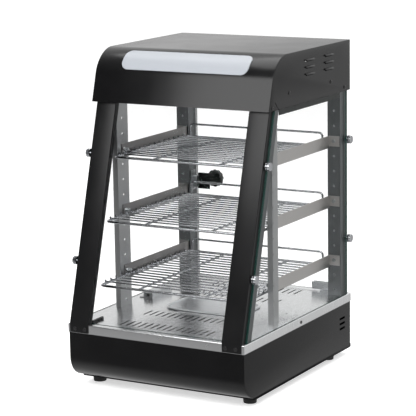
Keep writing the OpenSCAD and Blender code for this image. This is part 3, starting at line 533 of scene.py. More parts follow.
def join(name, objects):
    """Makes one object of several, under a new name."""
    make_active(objects[0])
    for obj in objects:
        obj.select_set(True)
    bpy.ops.object.join()
    joined = bpy.context.object
    joined.name = name
    return joined


def turn_and_move(obj, turn, move):
    """Turns a blank about the origin by a matrix, and then moves it, in mm."""
    obj.data.transform(Matrix.Translation(Vector(move) * MM) @ turn)


def make_left_handed(obj):
    """Mirrors a piece of the right side on to the left side."""
    obj.data.transform(Matrix.Scale(-1, 4, (1, 0, 0)))
    obj.data.flip_normals()


def copy_of(obj, turn, move):
    """A copy with its own mesh, turned by a matrix if there is one, and then moved, in mm."""
    twin = obj.copy()
    twin.data = obj.data.copy()
    bpy.context.scene.collection.objects.link(twin)
    turn_and_move(twin, turn or Matrix.Identity(4), move)
    return twin


def finish_piece(obj, material, body, *stands_for, smooth=30):
    """Gives a piece its finish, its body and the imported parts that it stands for."""
    make_active(obj)
    bpy.ops.object.shade_smooth_by_angle(angle=math.radians(smooth))
    paint(obj, material)
    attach(obj, body)
    if stands_for:
        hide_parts(*stands_for)
    print(obj.name, len(obj.data.polygons), "faces")


# %% [markdown]
# ## Deck
# One sheet of stainless steel, folded down on all four sides. A press brake leaves a small
# radius on every fold, and that radius is what catches the light along the deck's edge.

# %% Deck
DECK_LOW, DECK_HIGH = node_box("deck")
SHEET = 1.2
MIDDLE_Y = (DECK_LOW.y + DECK_HIGH.y) / 2
deck = block("deck_folded", DECK_LOW, DECK_HIGH)
pick(deck, "FACE", lambda middle, normal: normal.z < -0.5)
delete_picked("FACE")
pick(deck, "EDGE", lambda middle, way: abs(way.z) > 0.5 or middle.z > DECK_HIGH.z - NEAR)
round_edges(1.8, 4)
apply(deck, "SOLIDIFY", thickness=SHEET * MM, offset=-1)


# %% [markdown]
# The deck's openings are cut with one tool each: a large one with round corners for the pan,
# and slim slots in rows that let the warm air up.

# %% Deck openings
PAN_LOW, PAN_HIGH = node_box("water_pan")
PAN_CORNER = 30
PAN_LAP = 4.5  # how far the pan's rim reaches over the deck
SLOT_ROWS = [(-190, 34), (-106, 33), (74, 34), (158, 36)]  # start behind the middle, length
SLOT_WIDTH, SLOT_PITCH, SLOT_COUNT = 3.5, 13, 15
SLOT_LEFT = -(SLOT_COUNT - 1) / 2 * SLOT_PITCH - SLOT_WIDTH / 2
DECK_HOLES = [(148, 14, 2.5, 20), (158, 33, 1.5, 16)]  # x, y behind the middle, radius, sides
LIP_SCREW_Y = MIDDLE_Y + 2.5
LIP_SCREW_Z = DECK_HIGH.z - 9.25
THROUGH = 5  # how far a tool reaches past the sheet that it cuts
ACROSS = 380  # a tool this long cuts both side lips of the deck


def round_post(name, low, high, radius, steps=6):
    """A block whose upright edges are rounded."""
    post = block(name, low, high)
    pick(post, "EDGE", lambda middle, way: abs(way.z) > 0.5)
    round_edges(radius, steps)
    deselect()
    return post


lap = Vector((PAN_LAP, PAN_LAP, 0))
above = Vector((0, 0, THROUGH))
cut(deck, round_post("pan_tool", PAN_LOW + lap, PAN_HIGH - lap + above, PAN_CORNER - PAN_LAP, 10))
slot_tools = []
for start, length in SLOT_ROWS:
    y = MIDDLE_Y + start
    low = (SLOT_LEFT, y, DECK_HIGH.z - THROUGH)
    high = (SLOT_LEFT + SLOT_WIDTH, y + length, DECK_HIGH.z + THROUGH)
    tool = round_post("slot_tool", low, high, SLOT_WIDTH / 2 - 0.01, 3)
    apply(tool, "ARRAY", count=SLOT_COUNT, use_relative_offset=False, use_constant_offset=True,
          constant_offset_displace=(SLOT_PITCH * MM, 0, 0))
    slot_tools.append(tool)
cut(deck, join("slot_tools", slot_tools))
hole_tools = [
    disc("hole_tool", (x, MIDDLE_Y + y, DECK_HIGH.z - THROUGH), radius, 2 * THROUGH, sides=sides)
    for x, y, radius, sides in DECK_HOLES
]
hole_tools.append(disc("hole_tool", (-ACROSS / 2, LIP_SCREW_Y, LIP_SCREW_Z), 2.5, ACROSS, "X", 20))
cut(deck, join("hole_tools", hole_tools))
finish_piece(deck, deck_steel, "case", "deck")

# %% [markdown]
# ## Water pan
# A drawn pan: its rim is rolled over the deck's opening, and its walls run into the floor
# with a wide radius. The outline is built up ring by ring and then smoothed.

# %% Water pan
PAN_DEPTH = 32.5
PAN_EDGE_DROP = 3.5  # from the crown of the rim down to its outer edge
BLANK_HEIGHT = 30  # the blank's top goes again, so any height will do
PAN_EDGE_RISES = (0.4, 1.4)
# Each ring goes inwards by the first number and up by the second.
PAN_RINGS = [(0.5, 0.9), (1.0, 0.6), (3.0, 0.1), (1.0, -0.6), (0.5, -1.1), (0.2, -PAN_DEPTH + 12),
             (0.7, -4), (2.2, -3.6), (4.5, -2.2), (4.0, -0.4)]
edge_z = PAN_HIGH.z - PAN_EDGE_DROP
rim = block("water_pan_drawn", (PAN_LOW.x, PAN_LOW.y, edge_z),
            (PAN_HIGH.x, PAN_HIGH.y, edge_z + BLANK_HEIGHT))
pick(rim, "EDGE", lambda middle, way: abs(way.z) > 0.5)
round_edges(PAN_CORNER, 10)
# Only the blank's underside is kept: a flat outline with round corners.
pick(rim, "VERT", lambda place, _: place.z > edge_z + 0.5)
delete_picked("VERT")
pick(rim, "FACE", lambda middle, normal: abs(normal.z) > 0.5)
bpy.ops.mesh.flip_normals()
for rise in PAN_EDGE_RISES:
    pull(z=rise)
for width, rise in PAN_RINGS:
    inset(width, rise)
deselect()
apply(rim, "SUBSURF", levels=1, render_levels=1)
apply(rim, "SOLIDIFY", thickness=0.8 * MM, offset=-1)
finish_piece(rim, pan_steel, "pan", "water_pan", smooth=60)

# %% [markdown]
# ## Post covers
# Each sloping post is hidden by a black channel. The fold between its face and its sides is
# rounded, and shows as a thin bright line. At the foot, a short tab folds down over the
# deck's lip and takes two screws.

# %% Post covers
LEAN = math.radians(16)
SLOPE = math.tan(LEAN)
COVER_DEPTH = 13
COVER_SHEET = 1.5


def post_cover(side):
    """The channel on one side: -1 is the left, 1 the right. It is folded as a right one."""
    low, high = node_box("post_cover_right")
    foot = DECK_HIGH.z
    cover = block("post_cover", (low.x, low.y, foot), (high.x, low.y + COVER_DEPTH, high.z))
    pick(cover, "FACE", lambda middle, normal: normal.y > 0.5 or abs(normal.z) > 0.5)
    delete_picked("FACE")
    pick(cover, "EDGE", lambda middle, way: abs(way.z) > 0.5 and middle.y < low.y + 1)
    round_edges(1.6, 4)
    pick(cover, "VERT", lambda place, _: place.z > foot + 1)
    push(y=(high.z - foot) * SLOPE)
    pick(cover, "EDGE", lambda middle, way: middle.z < foot + NEAR and middle.y < low.y + NEAR)
    pull(z=-DECK_HIGH.z + low.z)
    deselect()
    apply(cover, "SOLIDIFY", thickness=COVER_SHEET * MM, offset=-1)
    if side < 0:
        make_left_handed(cover)
    name = "right" if side > 0 else "left"
    cover.name = "post_cover_folded_" + name
    finish_piece(cover, cover_paint, "case", "post_cover_" + name, smooth=40)


for side in (-1, 1):
    post_cover(side)

# %% [markdown]
# ## Hood skin
# The hood's front, roof and sides read as one black shell. Its front leans back, and rolls
# into the roof with a wide radius; every other fold is tight. The lens and the louvres are
# cut through it.

# %% Hood skin
HOOD_LOW, HOOD_HIGH = node_box("hood_shell")
HOOD_HALF = node_box("deck")[1].x
CURVE = 60
CURVE_Z = HOOD_HIGH.z - CURVE
curve_start = CURVE_Z + CURVE * math.sin(LEAN) - HOOD_LOW.z  # its height up the leaning front
CURVE_Y = HOOD_LOW.y + curve_start * SLOPE + CURVE * math.cos(LEAN)
hood = block("hood_skin", (-HOOD_HALF, HOOD_LOW.y, HOOD_LOW.z),
             (HOOD_HALF, HOOD_HIGH.y, HOOD_HIGH.z))
pick(hood, "VERT", lambda place, _: place.y < HOOD_LOW.y + 1 and place.z > HOOD_HIGH.z - 1)
push(y=(HOOD_HIGH.z - HOOD_LOW.z) * SLOPE)
pick(hood, "FACE", lambda middle, normal: normal.z < -0.5 or normal.y > 0.5)
delete_picked("FACE")
pick(hood, "EDGE", lambda middle, way: abs(way.x) > 0.5
     and middle.z > HOOD_HIGH.z - 1 and middle.y < 0)
round_edges(CURVE * math.tan((math.pi / 2 - LEAN) / 2), 24)
pick(hood, "EDGE", lambda middle, way: abs(way.x) < 0.5 and abs(middle.x) > HOOD_HALF - NEAR
     and middle.z > HOOD_LOW.z + NEAR and middle.y < HOOD_HIGH.y - NEAR)
round_edges(1.0, 3)
deselect()
apply(hood, "SOLIDIFY", thickness=SHEET * MM, offset=-1)

# %% [markdown]
# The opening for the lens is a long rounded window, square to the middle of the curve. Each
# louvre has a slot under it, and a slanted slit stands low on each side near the front.

# %% Lens opening and louvre slots
LENS_ANGLES = (24.4, 68.4)
LENS_WIDTH = 264
LENS_GAP = 0.3
LENS_CORNER = 14
LENS_TOOL = (30, 90)  # from inside the curve to outside it
lens_middle = math.radians(sum(LENS_ANGLES) / 2)
lens_chord = 2 * CURVE * math.sin(math.radians(LENS_ANGLES[1] - LENS_ANGLES[0]) / 2)
half_width = LENS_WIDTH / 2 + LENS_GAP
half_chord = lens_chord / 2 + LENS_GAP
window = round_post("lens_tool", (-half_width, -half_chord, LENS_TOOL[0]),
                    (half_width, half_chord, LENS_TOOL[1]), LENS_CORNER, 8)
turn_and_move(window, Matrix.Rotation(math.pi / 2 - lens_middle, 4, "X"), (0, CURVE_Y, CURVE_Z))
cut(hood, window)
LOUVRE = 34  # length of one louvre
LOUVRE_END = 1.2  # its slot ends this far short of it
LOUVRE_RISE = 2.6
LOUVRE_TOOL = 4
LOUVRE_PLACES = [
    (MIDDLE_Y + 26 + column * 80.5, HOOD_HIGH.z - 46 + row * 13)
    for column in (0, 1) for row in (0, 1, 2)
]
SLIT_HALF = Vector((3, 11, 0.7))
SLIT_Y = HOOD_LOW.y + 31
SLIT_Z = HOOD_LOW.z + 7
tools = []
for side in (-1, 1):
    wall = side * HOOD_HALF
    for y, z in LOUVRE_PLACES:
        low = (wall - LOUVRE_TOOL, y + LOUVRE_END, z - LOUVRE_RISE)
        high = (wall + LOUVRE_TOOL, y + LOUVRE - LOUVRE_END, z)
        tools.append(block("louvre_tool", low, high))
    slit = block("slit_tool", Vector((wall, 0, 0)) - SLIT_HALF, Vector((wall, 0, 0)) + SLIT_HALF)
    turn_and_move(slit, Matrix.Rotation(-math.pi / 4, 4, "X"), (0, SLIT_Y, SLIT_Z))
    tools.append(slit)
cut(hood, join("louvre_tools", tools))
finish_piece(hood, hood_paint_with_painted_sheen, "case", "hood_shell", "hood_side_left", "hood_side_right", smooth=30)


# %% [markdown]
# ## Louvres
# A louvre is pressed out of the sheet: a low eyebrow over its slot that fades into the flat
# at both ends.

# %% Louvres
LOUVRE_DEPTH = 3


def louvre(y, z, side):
    """One eyebrow, sunk a little into the sheet so that no gap shows."""
    low = (HOOD_HALF - 0.3, y, z - 0.9)
    high = (HOOD_HALF + LOUVRE_DEPTH, y + LOUVRE, z + LOUVRE_RISE)
    brow = block("louvre", low, high)
    pick(brow, "EDGE", lambda middle, way: abs(way.y) > 0.5
         and middle.x > HOOD_HALF + 1 and middle.z > z + 1)
    round_edges(2.9, 5)
    pick(brow, "EDGE", lambda middle, way: abs(way.y) < 0.5 and middle.x > HOOD_HALF + 0.5)
    round_edges(1.0, 3)
    deselect()
    if side < 0:
        make_left_handed(brow)
    return brow


brows = [louvre(y, z, side) for side in (-1, 1) for y, z in LOUVRE_PLACES]
louvres = join("hood_louvres", brows)
finish_piece(louvres, hood_paint_with_painted_sheen, "case")

# %% [markdown]
# ## Base shell
# The front of the base runs down from the deck and rolls under with a radius of 42 mm. The
# sides are flat, and a tight radius joins them to the front.

# %% Base shell
BASE_LOW, BASE_HIGH = node_box("base_shell")
BASE_CURVE = 42
VENT_LENGTH, VENT_HEIGHT, VENT_PITCH = 23, 4.5, 10
VENT_Y = BASE_HIGH.y - 47.5
VENT_Z = BASE_LOW.z + 52
base = block("base_skin", BASE_LOW, BASE_HIGH)
pick(base, "FACE", lambda middle, normal: normal.z > 0.5 or normal.y > 0.5)
delete_picked("FACE")
pick(base, "EDGE", lambda middle, way: abs(way.x) > 0.5
     and middle.z < BASE_LOW.z + 1 and middle.y < 0)
round_edges(BASE_CURVE, 20)
pick(base, "EDGE", lambda middle, way: abs(way.x) < 0.5 and abs(middle.x) > BASE_HIGH.x - NEAR
     and middle.y < BASE_HIGH.y - NEAR and middle.z < BASE_HIGH.z - NEAR)
round_edges(1.2, 3)
deselect()
apply(base, "SOLIDIFY", thickness=SHEET * MM, offset=-1)
# The shell is open below, behind its curved front.
belly_low = (BASE_LOW.x + SHEET, BASE_LOW.y + BASE_CURVE, BASE_LOW.z - THROUGH)
belly_high = (BASE_HIGH.x - SHEET, BASE_HIGH.y + THROUGH, BASE_LOW.z + SHEET + 1)
cut(base, block("belly_tool", belly_low, belly_high))
tools = []
for side in (-1, 1):
    wall = side * BASE_HIGH.x
    for step in (-1, 0, 1):
        z = VENT_Z + step * VENT_PITCH
        low = (wall - THROUGH, VENT_Y, z - VENT_HEIGHT / 2)
        high = (wall + THROUGH, VENT_Y + VENT_LENGTH, z + VENT_HEIGHT / 2)
        tools.append(block("vent_tool", low, high))
cut(base, join("vent_tools", tools))
finish_piece(base, black_paint, "case", "base_shell", smooth=30)


# %% [markdown]
# ## Screws
# The screws have low domed heads with a cross recess. One is modelled pointing up, and its
# copies are turned to face out of the sheet they hold.

# %% Screws
SHANK_RADIUS = 2
CROSS_LONG, CROSS_NARROW, CROSS_FLOOR = 0.55, 0.13, 0.35  # shares of the head's size


def cross_screw(name, radius, height, shank, nut=False):
    """A screw that points up from the sheet, with a hexagonal nut behind it if asked."""
    head = disc(name, (0, 0, 0), radius, height, sides=28)
    pick(head, "EDGE", lambda middle, way: middle.z > height - NEAR)
    round_edges(height * 0.45, 3)
    deselect()
    long, narrow, floor = radius * CROSS_LONG, radius * CROSS_NARROW, height * CROSS_FLOOR
    for x, y in ((long, narrow), (narrow, long)):
        cut(head, block("slot_tool", (-x, -y, floor), (x, y, height + 1)))
    parts = [head, disc("shank", (0, 0, -shank), SHANK_RADIUS, shank, sides=16)]
    if nut:
        parts.append(disc("nut", (0, 0, -6), 3.75, 3, sides=6))
    return join(name, parts)


TO_FRONT = Matrix.Rotation(math.pi / 2, 4, "X")
TO_SIDE = {side: Matrix.Rotation(side * math.pi / 2, 4, "Y") for side in (-1, 1)}


def screw_set(name, pattern, places, material, *stands_for):
    """Copies of one screw, each with a turn and a place, joined into one piece."""
    copies = [copy_of(pattern, turn, place) for turn, place in places]
    bpy.data.objects.remove(pattern)
    finish_piece(join(name, copies), material, "case", *stands_for)


COVER_LOW, COVER_HIGH = node_box("post_cover_right")
COVER_SCREW_XS = (COVER_LOW.x + 8, COVER_HIGH.x - 12)
COVER_SCREW_Z = DECK_HIGH.z - 16.5 / 2  # the middle of the cover's tab
cover_places = [
    (TO_FRONT, (side * x, COVER_LOW.y, COVER_SCREW_Z))
    for side in (-1, 1) for x in COVER_SCREW_XS
]
screw_set("cover_screws_cross", cross_screw("pattern", 3.5, 1.2, 1.4),
          cover_places, dark_screw, "cover_screws")
lip_places = [(TO_SIDE[side], (side * DECK_HIGH.x, LIP_SCREW_Y, LIP_SCREW_Z)) for side in (-1, 1)]
screw_set("lip_screws_cross", cross_screw("pattern", 3.1, 0.8, 1.2), lip_places, dark_screw)
HOOD_SCREWS = [(CURVE_Y + 8, HOOD_LOW.z + 24.5), (HOOD_HIGH.y - 84, HOOD_LOW.z + 24.5),
               (HOOD_HIGH.y - 24, HOOD_LOW.z + 7.5), (HOOD_LOW.y + 14, HOOD_LOW.z + 5)]
hood_places = [
    (TO_SIDE[side], (side * HOOD_HALF, y, z))
    for side in (-1, 1) for y, z in HOOD_SCREWS
]
screw_set("hood_screws_cross", cross_screw("pattern", 3.25, 1.4, 5),
          hood_places, dark_screw, "hood_screws")
ARM_LOW, ARM_HIGH = node_box("shelf_arm_top_right")
ARM_BOLT_DROP = 9.8  # from an arm's top edge down to its bolts
LEVELS = [
    node_box("shelf_arm_%s_right" % level)[1].z - ARM_BOLT_DROP
    for level in ("top", "middle", "bottom")
]
REAR_POST_LOW, REAR_POST_HIGH = node_box("rear_post_right")
POST_LOW, POST_HIGH = node_box("front_post_right")
rear_bolt_x = (REAR_POST_LOW.x + REAR_POST_HIGH.x) / 2
front_bolt_y = (POST_LOW.y + POST_HIGH.y) / 2
bolt_places = []
for side in (-1, 1):
    for z in LEVELS:
        bolt_places.append((TO_FRONT, (side * rear_bolt_x, ARM_HIGH.y - 1.5, z)))
        bolt_places.append((TO_SIDE[-side], (side * ARM_LOW.x, front_bolt_y, z)))
screw_set("arm_bolts_cross", cross_screw("pattern", 3.75, 1.8, 8, nut=True),
          bolt_places, zinc, "arm_bolts")

# %% [markdown]
# ## Thumb nuts
# Chrome thumb nuts clamp the edges of the side panes. A nut is turned as one piece: a
# washer face, a narrow neck and a head whose rim is cut with coarse grooves for the fingers.

# %% Thumb nuts
PANE_OUT = node_box("side_glass_right")[1].x
CAP_RADIUS = 8


NUT_NECK_TOP = 2.6
NUT_HEAD_SPREAD = 1.62  # the head's radius over the neck's
NUT_GROOVE_STEP = 9  # degrees


def is_every_other(angle, step):
    """Whether an angle in degrees falls in an even one of the steps round a circle."""
    return int(round(angle / step - 0.5)) % 2 == 0


def thumb_nut():
    """A nut that points up from the pane, built from its washer face outwards."""
    nut = disc("thumb_nut", (0, 0, 0), CAP_RADIUS, 1.2, sides=40)
    pick(nut, "FACE", lambda middle, normal: normal.z > 0.5)
    inset(3.2)
    pull(z=1.4)
    inset(-0.0001)
    bpy.ops.mesh.extrude_region_move()
    bpy.ops.transform.resize(value=(NUT_HEAD_SPREAD, NUT_HEAD_SPREAD, 1),
                             center_override=(0, 0, NUT_NECK_TOP * MM))
    pull(z=4.4)
    inset(1.6)
    push(z=-0.5)
    pick(nut, "FACE", lambda middle, normal: abs(normal.z) < 0.3 and middle.z > 3
         and is_every_other(math.degrees(math.atan2(middle.y, middle.x)), NUT_GROOVE_STEP))
    inset(0.08, -0.55, each=True)
    pick(nut, "EDGE", lambda middle, way: middle.z > 6.9
         and math.hypot(middle.x, middle.y) > 6.5)
    round_edges(0.35, 2)
    deselect()
    return join("thumb_nut", [nut, disc("stud", (0, 0, -8), 2.5, 8.2, sides=20)])


def cap_places():
    """The middles of the eight nuts: front ones follow the slope, rear ones stand in line."""
    heights = [DECK_HIGH.z + 111, HOOD_LOW.z - 95.5]
    front = [(COVER_LOW.y + (z - DECK_HIGH.z) * SLOPE + 8, z) for z in heights]
    return front + [(REAR_POST_LOW.y + 26, z) for z in heights]


pattern = thumb_nut()
nuts = [
    copy_of(pattern, TO_SIDE[side], (side * PANE_OUT, y, z))
    for side in (-1, 1) for y, z in cap_places()
]
bpy.data.objects.remove(pattern)
finish_piece(join("thumb_nuts", nuts), chrome, "case", "glass_caps", smooth=25)

# %% [markdown]
# ## Door knob
# A moulded black knob on the outer face of the door, held through the glass by a screw from
# a small plate on the inner face. The rim of the knob has shallow finger flutes.

# %% Door knob
KNOB_LOW = node_box("door_knob")[0]
DOOR_LOW, DOOR_HIGH = node_box("door_glass")
KNOB_RADIUS = 15.5
KNOB_X = DOOR_LOW.x + 30
KNOB_Z = HOOD_LOW.z - 197
KNOB_BACK = DOOR_HIGH.y + 9
KNOB_DEPTH = 14
FLUTE_STEP = 7.5  # degrees
PLATE_Y = DOOR_LOW.y - 3  # the inner face of the plate and the striker


def around(middle, x, z):
    """Distance and angle of a place round an axis along Y."""
    across, up = middle.x - x, middle.z - z
    return math.hypot(across, up), math.degrees(math.atan2(up, across))


def from_knob(middle):
    """Distance of a place from the knob's axis."""
    return around(middle, KNOB_X, KNOB_Z)[0]


neck = disc("neck", (KNOB_X, DOOR_HIGH.y, KNOB_Z), 7.5, 9.2, "Y", 40)
knob = disc("knob", (KNOB_X, KNOB_BACK, KNOB_Z), KNOB_RADIUS - 0.2, KNOB_DEPTH, "Y", 48)
pick(knob, "FACE", lambda middle, normal: abs(normal.y) < 0.3
     and int(round(around(middle, KNOB_X, KNOB_Z)[1] / FLUTE_STEP - 0.5)) % 4 == 0)
inset(0.5, -0.3, each=True)
pick(knob, "EDGE", lambda middle, way: abs(way.y) < 0.2 and from_knob(middle) > KNOB_RADIUS - 0.9
     and not KNOB_BACK + 0.5 <= middle.y <= KNOB_BACK + KNOB_DEPTH - 0.5)
round_edges(2.4, 4)
pick(knob, "FACE", lambda middle, normal: normal.y > 0.9 and from_knob(middle) < 3)
inset(2.5)
push(y=-1.2)
deselect()
plate = block("plate", (KNOB_LOW.x, PLATE_Y, KNOB_Z - 4.5),
              (KNOB_LOW.x + 32, DOOR_LOW.y, KNOB_Z + 13.5))
pick(plate, "EDGE", lambda middle, way: abs(way.y) > 0.5)
round_edges(2, 4)
pick(plate, "EDGE", lambda middle, way: middle.y < PLATE_Y + NEAR)
round_edges(0.6, 2)
deselect()
striker = block("striker", (KNOB_LOW.x, PLATE_Y, KNOB_Z - 19),
                (KNOB_LOW.x + 26, DOOR_LOW.y, KNOB_Z - 6))
pick(striker, "EDGE", lambda middle, way: True)
round_edges(0.7, 2)
deselect()
screw = cross_screw("screw", 4, 1.6, 2.5)
turn_and_move(screw, TO_FRONT, (KNOB_X, PLATE_Y, KNOB_Z))
knob_set = join("door_knob_moulded", [knob, neck, plate, striker, screw])
finish_piece(knob_set, black_plastic, "door", "door_knob", smooth=35)

# %% [markdown]
# ## Feet
# Moulded rubber feet, tapered, with a recess for the screw.

# %% Feet
FEET_LOW, FEET_HIGH = node_box("feet")
FOOT_RADIUS = 13.5
foot_x = FEET_HIGH.x - FOOT_RADIUS
foot_ys = (FEET_LOW.y + FOOT_RADIUS, FEET_HIGH.y - FOOT_RADIUS)


FOOT_TAPER = 0.89


def rubber_foot():
    """One foot, standing on the floor at the origin."""
    foot = disc("foot", (0, 0, 0), FOOT_RADIUS, FEET_HIGH.z, sides=48)
    pick(foot, "FACE", lambda middle, normal: normal.z < -0.9)
    bpy.ops.transform.resize(value=(FOOT_TAPER, FOOT_TAPER, 1))
    inset(6)
    push(z=8)
    pick(foot, "EDGE", lambda middle, way: abs(way.z) < 0.2
         and math.hypot(middle.x, middle.y) > 11)
    round_edges(0.9, 3)
    deselect()
    return foot


pattern = rubber_foot()
feet = [copy_of(pattern, None, (side * foot_x, y, 0)) for side in (-1, 1) for y in foot_ys]
bpy.data.objects.remove(pattern)
finish_piece(join("rubber_feet", feet), rubber, "case", "feet", smooth=40)

# %% [markdown]
# ## Thermostat knob
# A moulded knob in the usual kitchen pattern: a fluted skirt, a round hub and a grip bar
# with a white line that points at the scale printed on the panel behind it.

# %% Thermostat knob
DIAL_LOW, DIAL_HIGH = node_box("thermostat_knob")
DIAL_X, DIAL_Z = (DIAL_LOW.x + DIAL_HIGH.x) / 2, (DIAL_LOW.z + DIAL_HIGH.z) / 2
DIAL_RADIUS = (DIAL_HIGH.x - DIAL_LOW.x) / 2
dial_y = DIAL_HIGH.y - 17
SKIRT = 5
RIB_STEP = 5  # degrees


def from_dial(middle):
    """Distance of a place from the dial's axis."""
    return around(middle, DIAL_X, DIAL_Z)[0]


skirt = disc("skirt", (DIAL_X, dial_y, DIAL_Z), DIAL_RADIUS - 0.1, SKIRT, "Y", 72)
pick(skirt, "FACE", lambda middle, normal: abs(normal.y) < 0.3
     and int(around(middle, DIAL_X, DIAL_Z)[1] // RIB_STEP) % 3 == 0)
inset(0.3, -0.5, each=True)
pick(skirt, "EDGE", lambda middle, way: middle.y > dial_y + SKIRT - 0.1
     and from_dial(middle) > DIAL_RADIUS - 1.5)
round_edges(1.0, 3)
hub = disc("hub", (DIAL_X, dial_y + 4, DIAL_Z), DIAL_RADIUS - 6, 10.5, "Y", 48)
pick(hub, "EDGE", lambda middle, way: middle.y > dial_y + 14.4)
round_edges(2.2, 4)
bar_half = DIAL_RADIUS - 3
BAR_WIDTH = 7
bar = block("bar", (DIAL_X - BAR_WIDTH / 2, dial_y + 3, DIAL_Z - bar_half),
            (DIAL_X + BAR_WIDTH / 2, DIAL_HIGH.y, DIAL_Z + bar_half))
pick(bar, "EDGE", lambda middle, way: abs(way.y) > 0.5 or middle.y > DIAL_HIGH.y - NEAR)
round_edges(1.5, 4)
deselect()
shaft = disc("shaft", (DIAL_X, DIAL_LOW.y, DIAL_Z), 3, dial_y + 1 - DIAL_LOW.y, "Y", 24)
dial = join("thermostat_knob_moulded", [skirt, hub, bar, shaft])
finish_piece(dial, black_plastic, "dial", "thermostat_knob", smooth=35)
LINE_WIDTH = 1.2
pointer = block("thermostat_pointer", (DIAL_X - LINE_WIDTH / 2, DIAL_HIGH.y - 0.6, DIAL_Z + 4),
                (DIAL_X + LINE_WIDTH / 2, DIAL_HIGH.y - 0.02, DIAL_Z + bar_half - 2.5))
finish_piece(pointer, white_plastic, "dial")

# %% [markdown]
# The scale is screen printed on the panel: eleven ticks over the knob's travel, without
# numbers. A print has almost no thickness, so each tick is a very thin plate.

# %% Scale round the knob
PANEL_HIGH = node_box("rear_panel")[1]
TICKS = 11
TICK_STEP = 27  # degrees
TICK_WIDTH, TICK_THICK = 0.8, 0.08
tick_low = DIAL_RADIUS + 3.5
ticks = []
for step in range(TICKS):
    length = 4 if step % 5 == 0 else 2.5
    tick = block("tick", (-TICK_WIDTH / 2, 0, tick_low),
                 (TICK_WIDTH / 2, TICK_THICK, tick_low + length))
    turn = Matrix.Rotation(math.radians(step * TICK_STEP), 4, "Y")
    turn_and_move(tick, turn, (DIAL_X, PANEL_HIGH.y, DIAL_Z))
    ticks.append(tick)
finish_piece(join("thermostat_scale", ticks), white_plastic, "case")

# %% [markdown]
# ## Cable gland
# A screwed gland: a hexagonal body against the panel, and a domed nut with grip ribs that
# clamps the supply cable. Only the gland is modelled, since no cable is seen.

# %% Cable gland
GLAND_LOW, GLAND_HIGH = node_box("cable_gland")
GLAND_X, GLAND_Z = (GLAND_LOW.x + GLAND_HIGH.x) / 2, (GLAND_LOW.z + GLAND_HIGH.z) / 2
BORE_RADIUS = 4
GLAND_RIB_STEP = 7.5  # degrees
GLAND_BLANKS = [  # name, start, end, radius, sides
    ("gland_body", PANEL_HIGH.y, PANEL_HIGH.y + 6, 10, 6),
    ("gland_nut", PANEL_HIGH.y + 5.5, GLAND_HIGH.y, 8, 48),
    ("gland_thread", GLAND_LOW.y, PANEL_HIGH.y + 1, 7, 32),
    ("gland_lock", GLAND_LOW.y + 4, GLAND_LOW.y + 10, 10, 6),
]
gland_parts = []
for name, start, end, radius, sides in GLAND_BLANKS:
    part = disc(name, (GLAND_X, start, GLAND_Z), radius, end - start, "Y", sides)
    bore = disc("bore_tool", (GLAND_X, start - 2, GLAND_Z), BORE_RADIUS, end - start + 4, "Y", 32)
    cut(part, bore)
    gland_parts.append(part)



def from_gland(middle):
    """Distance of a place from the gland's axis."""
    return around(middle, GLAND_X, GLAND_Z)[0]


body, nut = gland_parts[:2]
pick(body, "EDGE", lambda middle, way: middle.y > PANEL_HIGH.y + 5.9 and from_gland(middle) > 7)
round_edges(0.8, 3)
pick(nut, "EDGE", lambda middle, way: middle.y > GLAND_HIGH.y - NEAR and from_gland(middle) > 7)
round_edges(2.0, 4)
pick(nut, "FACE", lambda middle, normal: abs(normal.y) < 0.3 and from_gland(middle) > 7
     and int(around(middle, GLAND_X, GLAND_Z)[1] // GLAND_RIB_STEP) % 2 == 0)
inset(0.1, -0.5, each=True)
deselect()
gland = join("cable_gland_moulded", gland_parts)
finish_piece(gland, black_plastic, "case", "cable_gland", smooth=35)

# %% [markdown]
# ## Pilot lamp
# A moulded red lens with a low dome, pushed into the panel from behind its rim.

# %% Pilot lamp
PILOT_LOW, PILOT_HIGH = node_box("pilot_lamp")
PILOT_X, PILOT_Z = (PILOT_LOW.x + PILOT_HIGH.x) / 2, (PILOT_LOW.z + PILOT_HIGH.z) / 2
rim = disc("pilot_rim", (PILOT_X, PANEL_HIGH.y, PILOT_Z), 5.5, 1.8, "Y", 40)
pick(rim, "EDGE", lambda middle, way: middle.y > PANEL_HIGH.y + 1.7)
round_edges(0.7, 3)
DOME_RADIUS = 4
dome_height = PILOT_HIGH.y - PANEL_HIGH.y - 1
dome = disc("pilot_dome", (PILOT_X, PANEL_HIGH.y + 1, PILOT_Z), DOME_RADIUS, dome_height, "Y", 40)
pick(dome, "EDGE", lambda middle, way: middle.y > PILOT_HIGH.y - NEAR)
round_edges(2.6, 6)
deselect()
stem_length = PANEL_HIGH.y + 0.5 - PILOT_LOW.y
stem = disc("pilot_stem", (PILOT_X, PILOT_LOW.y, PILOT_Z), DOME_RADIUS, stem_length, "Y", 32)
lamp = join("pilot_lamp_moulded", [rim, dome, stem])
finish_piece(lamp, red_lens, "case", "pilot_lamp", smooth=35)

# %% [markdown]
# ## Floor and light
# The case stands on a matt white table in a white room. The room is bright behind the case
# and dim in front, so the clear panes and dark paint keep their contrast. A wide light box
# in front gives the leaning front its soft sheen.

# %% Floor and light
FLOOR_SIZE = 30
FLOOR_GLOW = 0.6
bpy.ops.mesh.primitive_plane_add(size=FLOOR_SIZE, location=(0, 0, 0))
floor = bpy.context.object
floor.name = "floor"
floor_material, tree, shader = new_material("Matt white studio floor")
set_shader(shader, Base_Color=linear("#F4F4F4"), Roughness=0.9,
           Emission_Color=(1, 1, 1, 1), Emission_Strength=FLOOR_GLOW)
paint(floor, floor_material)
floor.visible_glossy = False

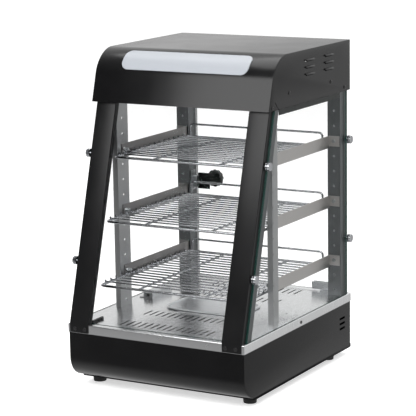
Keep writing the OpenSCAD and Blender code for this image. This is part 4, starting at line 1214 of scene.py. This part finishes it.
world = bpy.data.worlds.new("studio")
bpy.context.scene.world = world
world.use_nodes = True
sky = world.node_tree
background = sky.nodes["Background"]
coords = add_node(sky, "ShaderNodeTexCoord")
ray_way = add_node(sky, "ShaderNodeSeparateXYZ", Vector=coords.outputs["Generated"]).outputs
# The room: dim in front, bright behind, and a little brighter overhead.
DIM, BRIGHT = 0.05, 0.95
behind = remap(sky, ray_way["Y"], -0.35, 0.45, 0.0, 1.0)
overhead = remap(sky, ray_way["Z"], 0.3, 0.95, 0.0, 0.3)
room = remap(sky, math_step(sky, "MAXIMUM", behind, overhead), 0.0, 1.0, DIM, BRIGHT)
# The table, as it shows in what is polished: bright close by and grey further off.
near_table = remap(sky, ray_way["Z"], -0.7, -0.25, 1.0, 0.0)
far_table = remap(sky, ray_way["Y"], -0.6, 0.6, 0.33, 0.6)
table = math_step(sky, "MAXIMUM", near_table, far_table)
is_below = remap(sky, ray_way["Z"], -0.03, 0.0, 1.0, 0.0)
room_light = add_node(sky, "ShaderNodeMix", i0=is_below, i2=room, i3=table).outputs[0]
# What the camera sees directly is plain white.
ray = add_node(sky, "ShaderNodeLightPath")
seen = math_step(sky, "MAXIMUM", ray.outputs["Is Camera Ray"], room_light)
sky.links.new(seen, background.inputs["Strength"])
background.inputs["Color"].default_value = (1, 1, 1, 1)


def soft_box(name, location, target, size, power):
    """A light box aimed at a target. Places and sizes are in m, power in W."""
    data = bpy.data.lights.new(name, "AREA")
    data.shape = "RECTANGLE"
    data.size, data.size_y = size
    data.energy = power
    light = bpy.data.objects.new(name, data)
    bpy.context.scene.collection.objects.link(light)
    light.location = location
    light.rotation_euler = (Vector(target) - Vector(location)).to_track_quat("-Z", "Y").to_euler()
    return light


soft_box("key", (1.4, -2.0, 2.4), (0, 0, 0.3), (1.2, 1.0), 22)
soft_box("front strip", (0.05, -1.35, 1.08), (0.05, 0, 0.8), (1.7, 0.78), 17)
soft_box("top", (-0.3, 0.4, 3.0), (0, 0, 0.3), (2.5, 2.0), 45)

bpy.context.scene.view_settings.view_transform = "Standard"
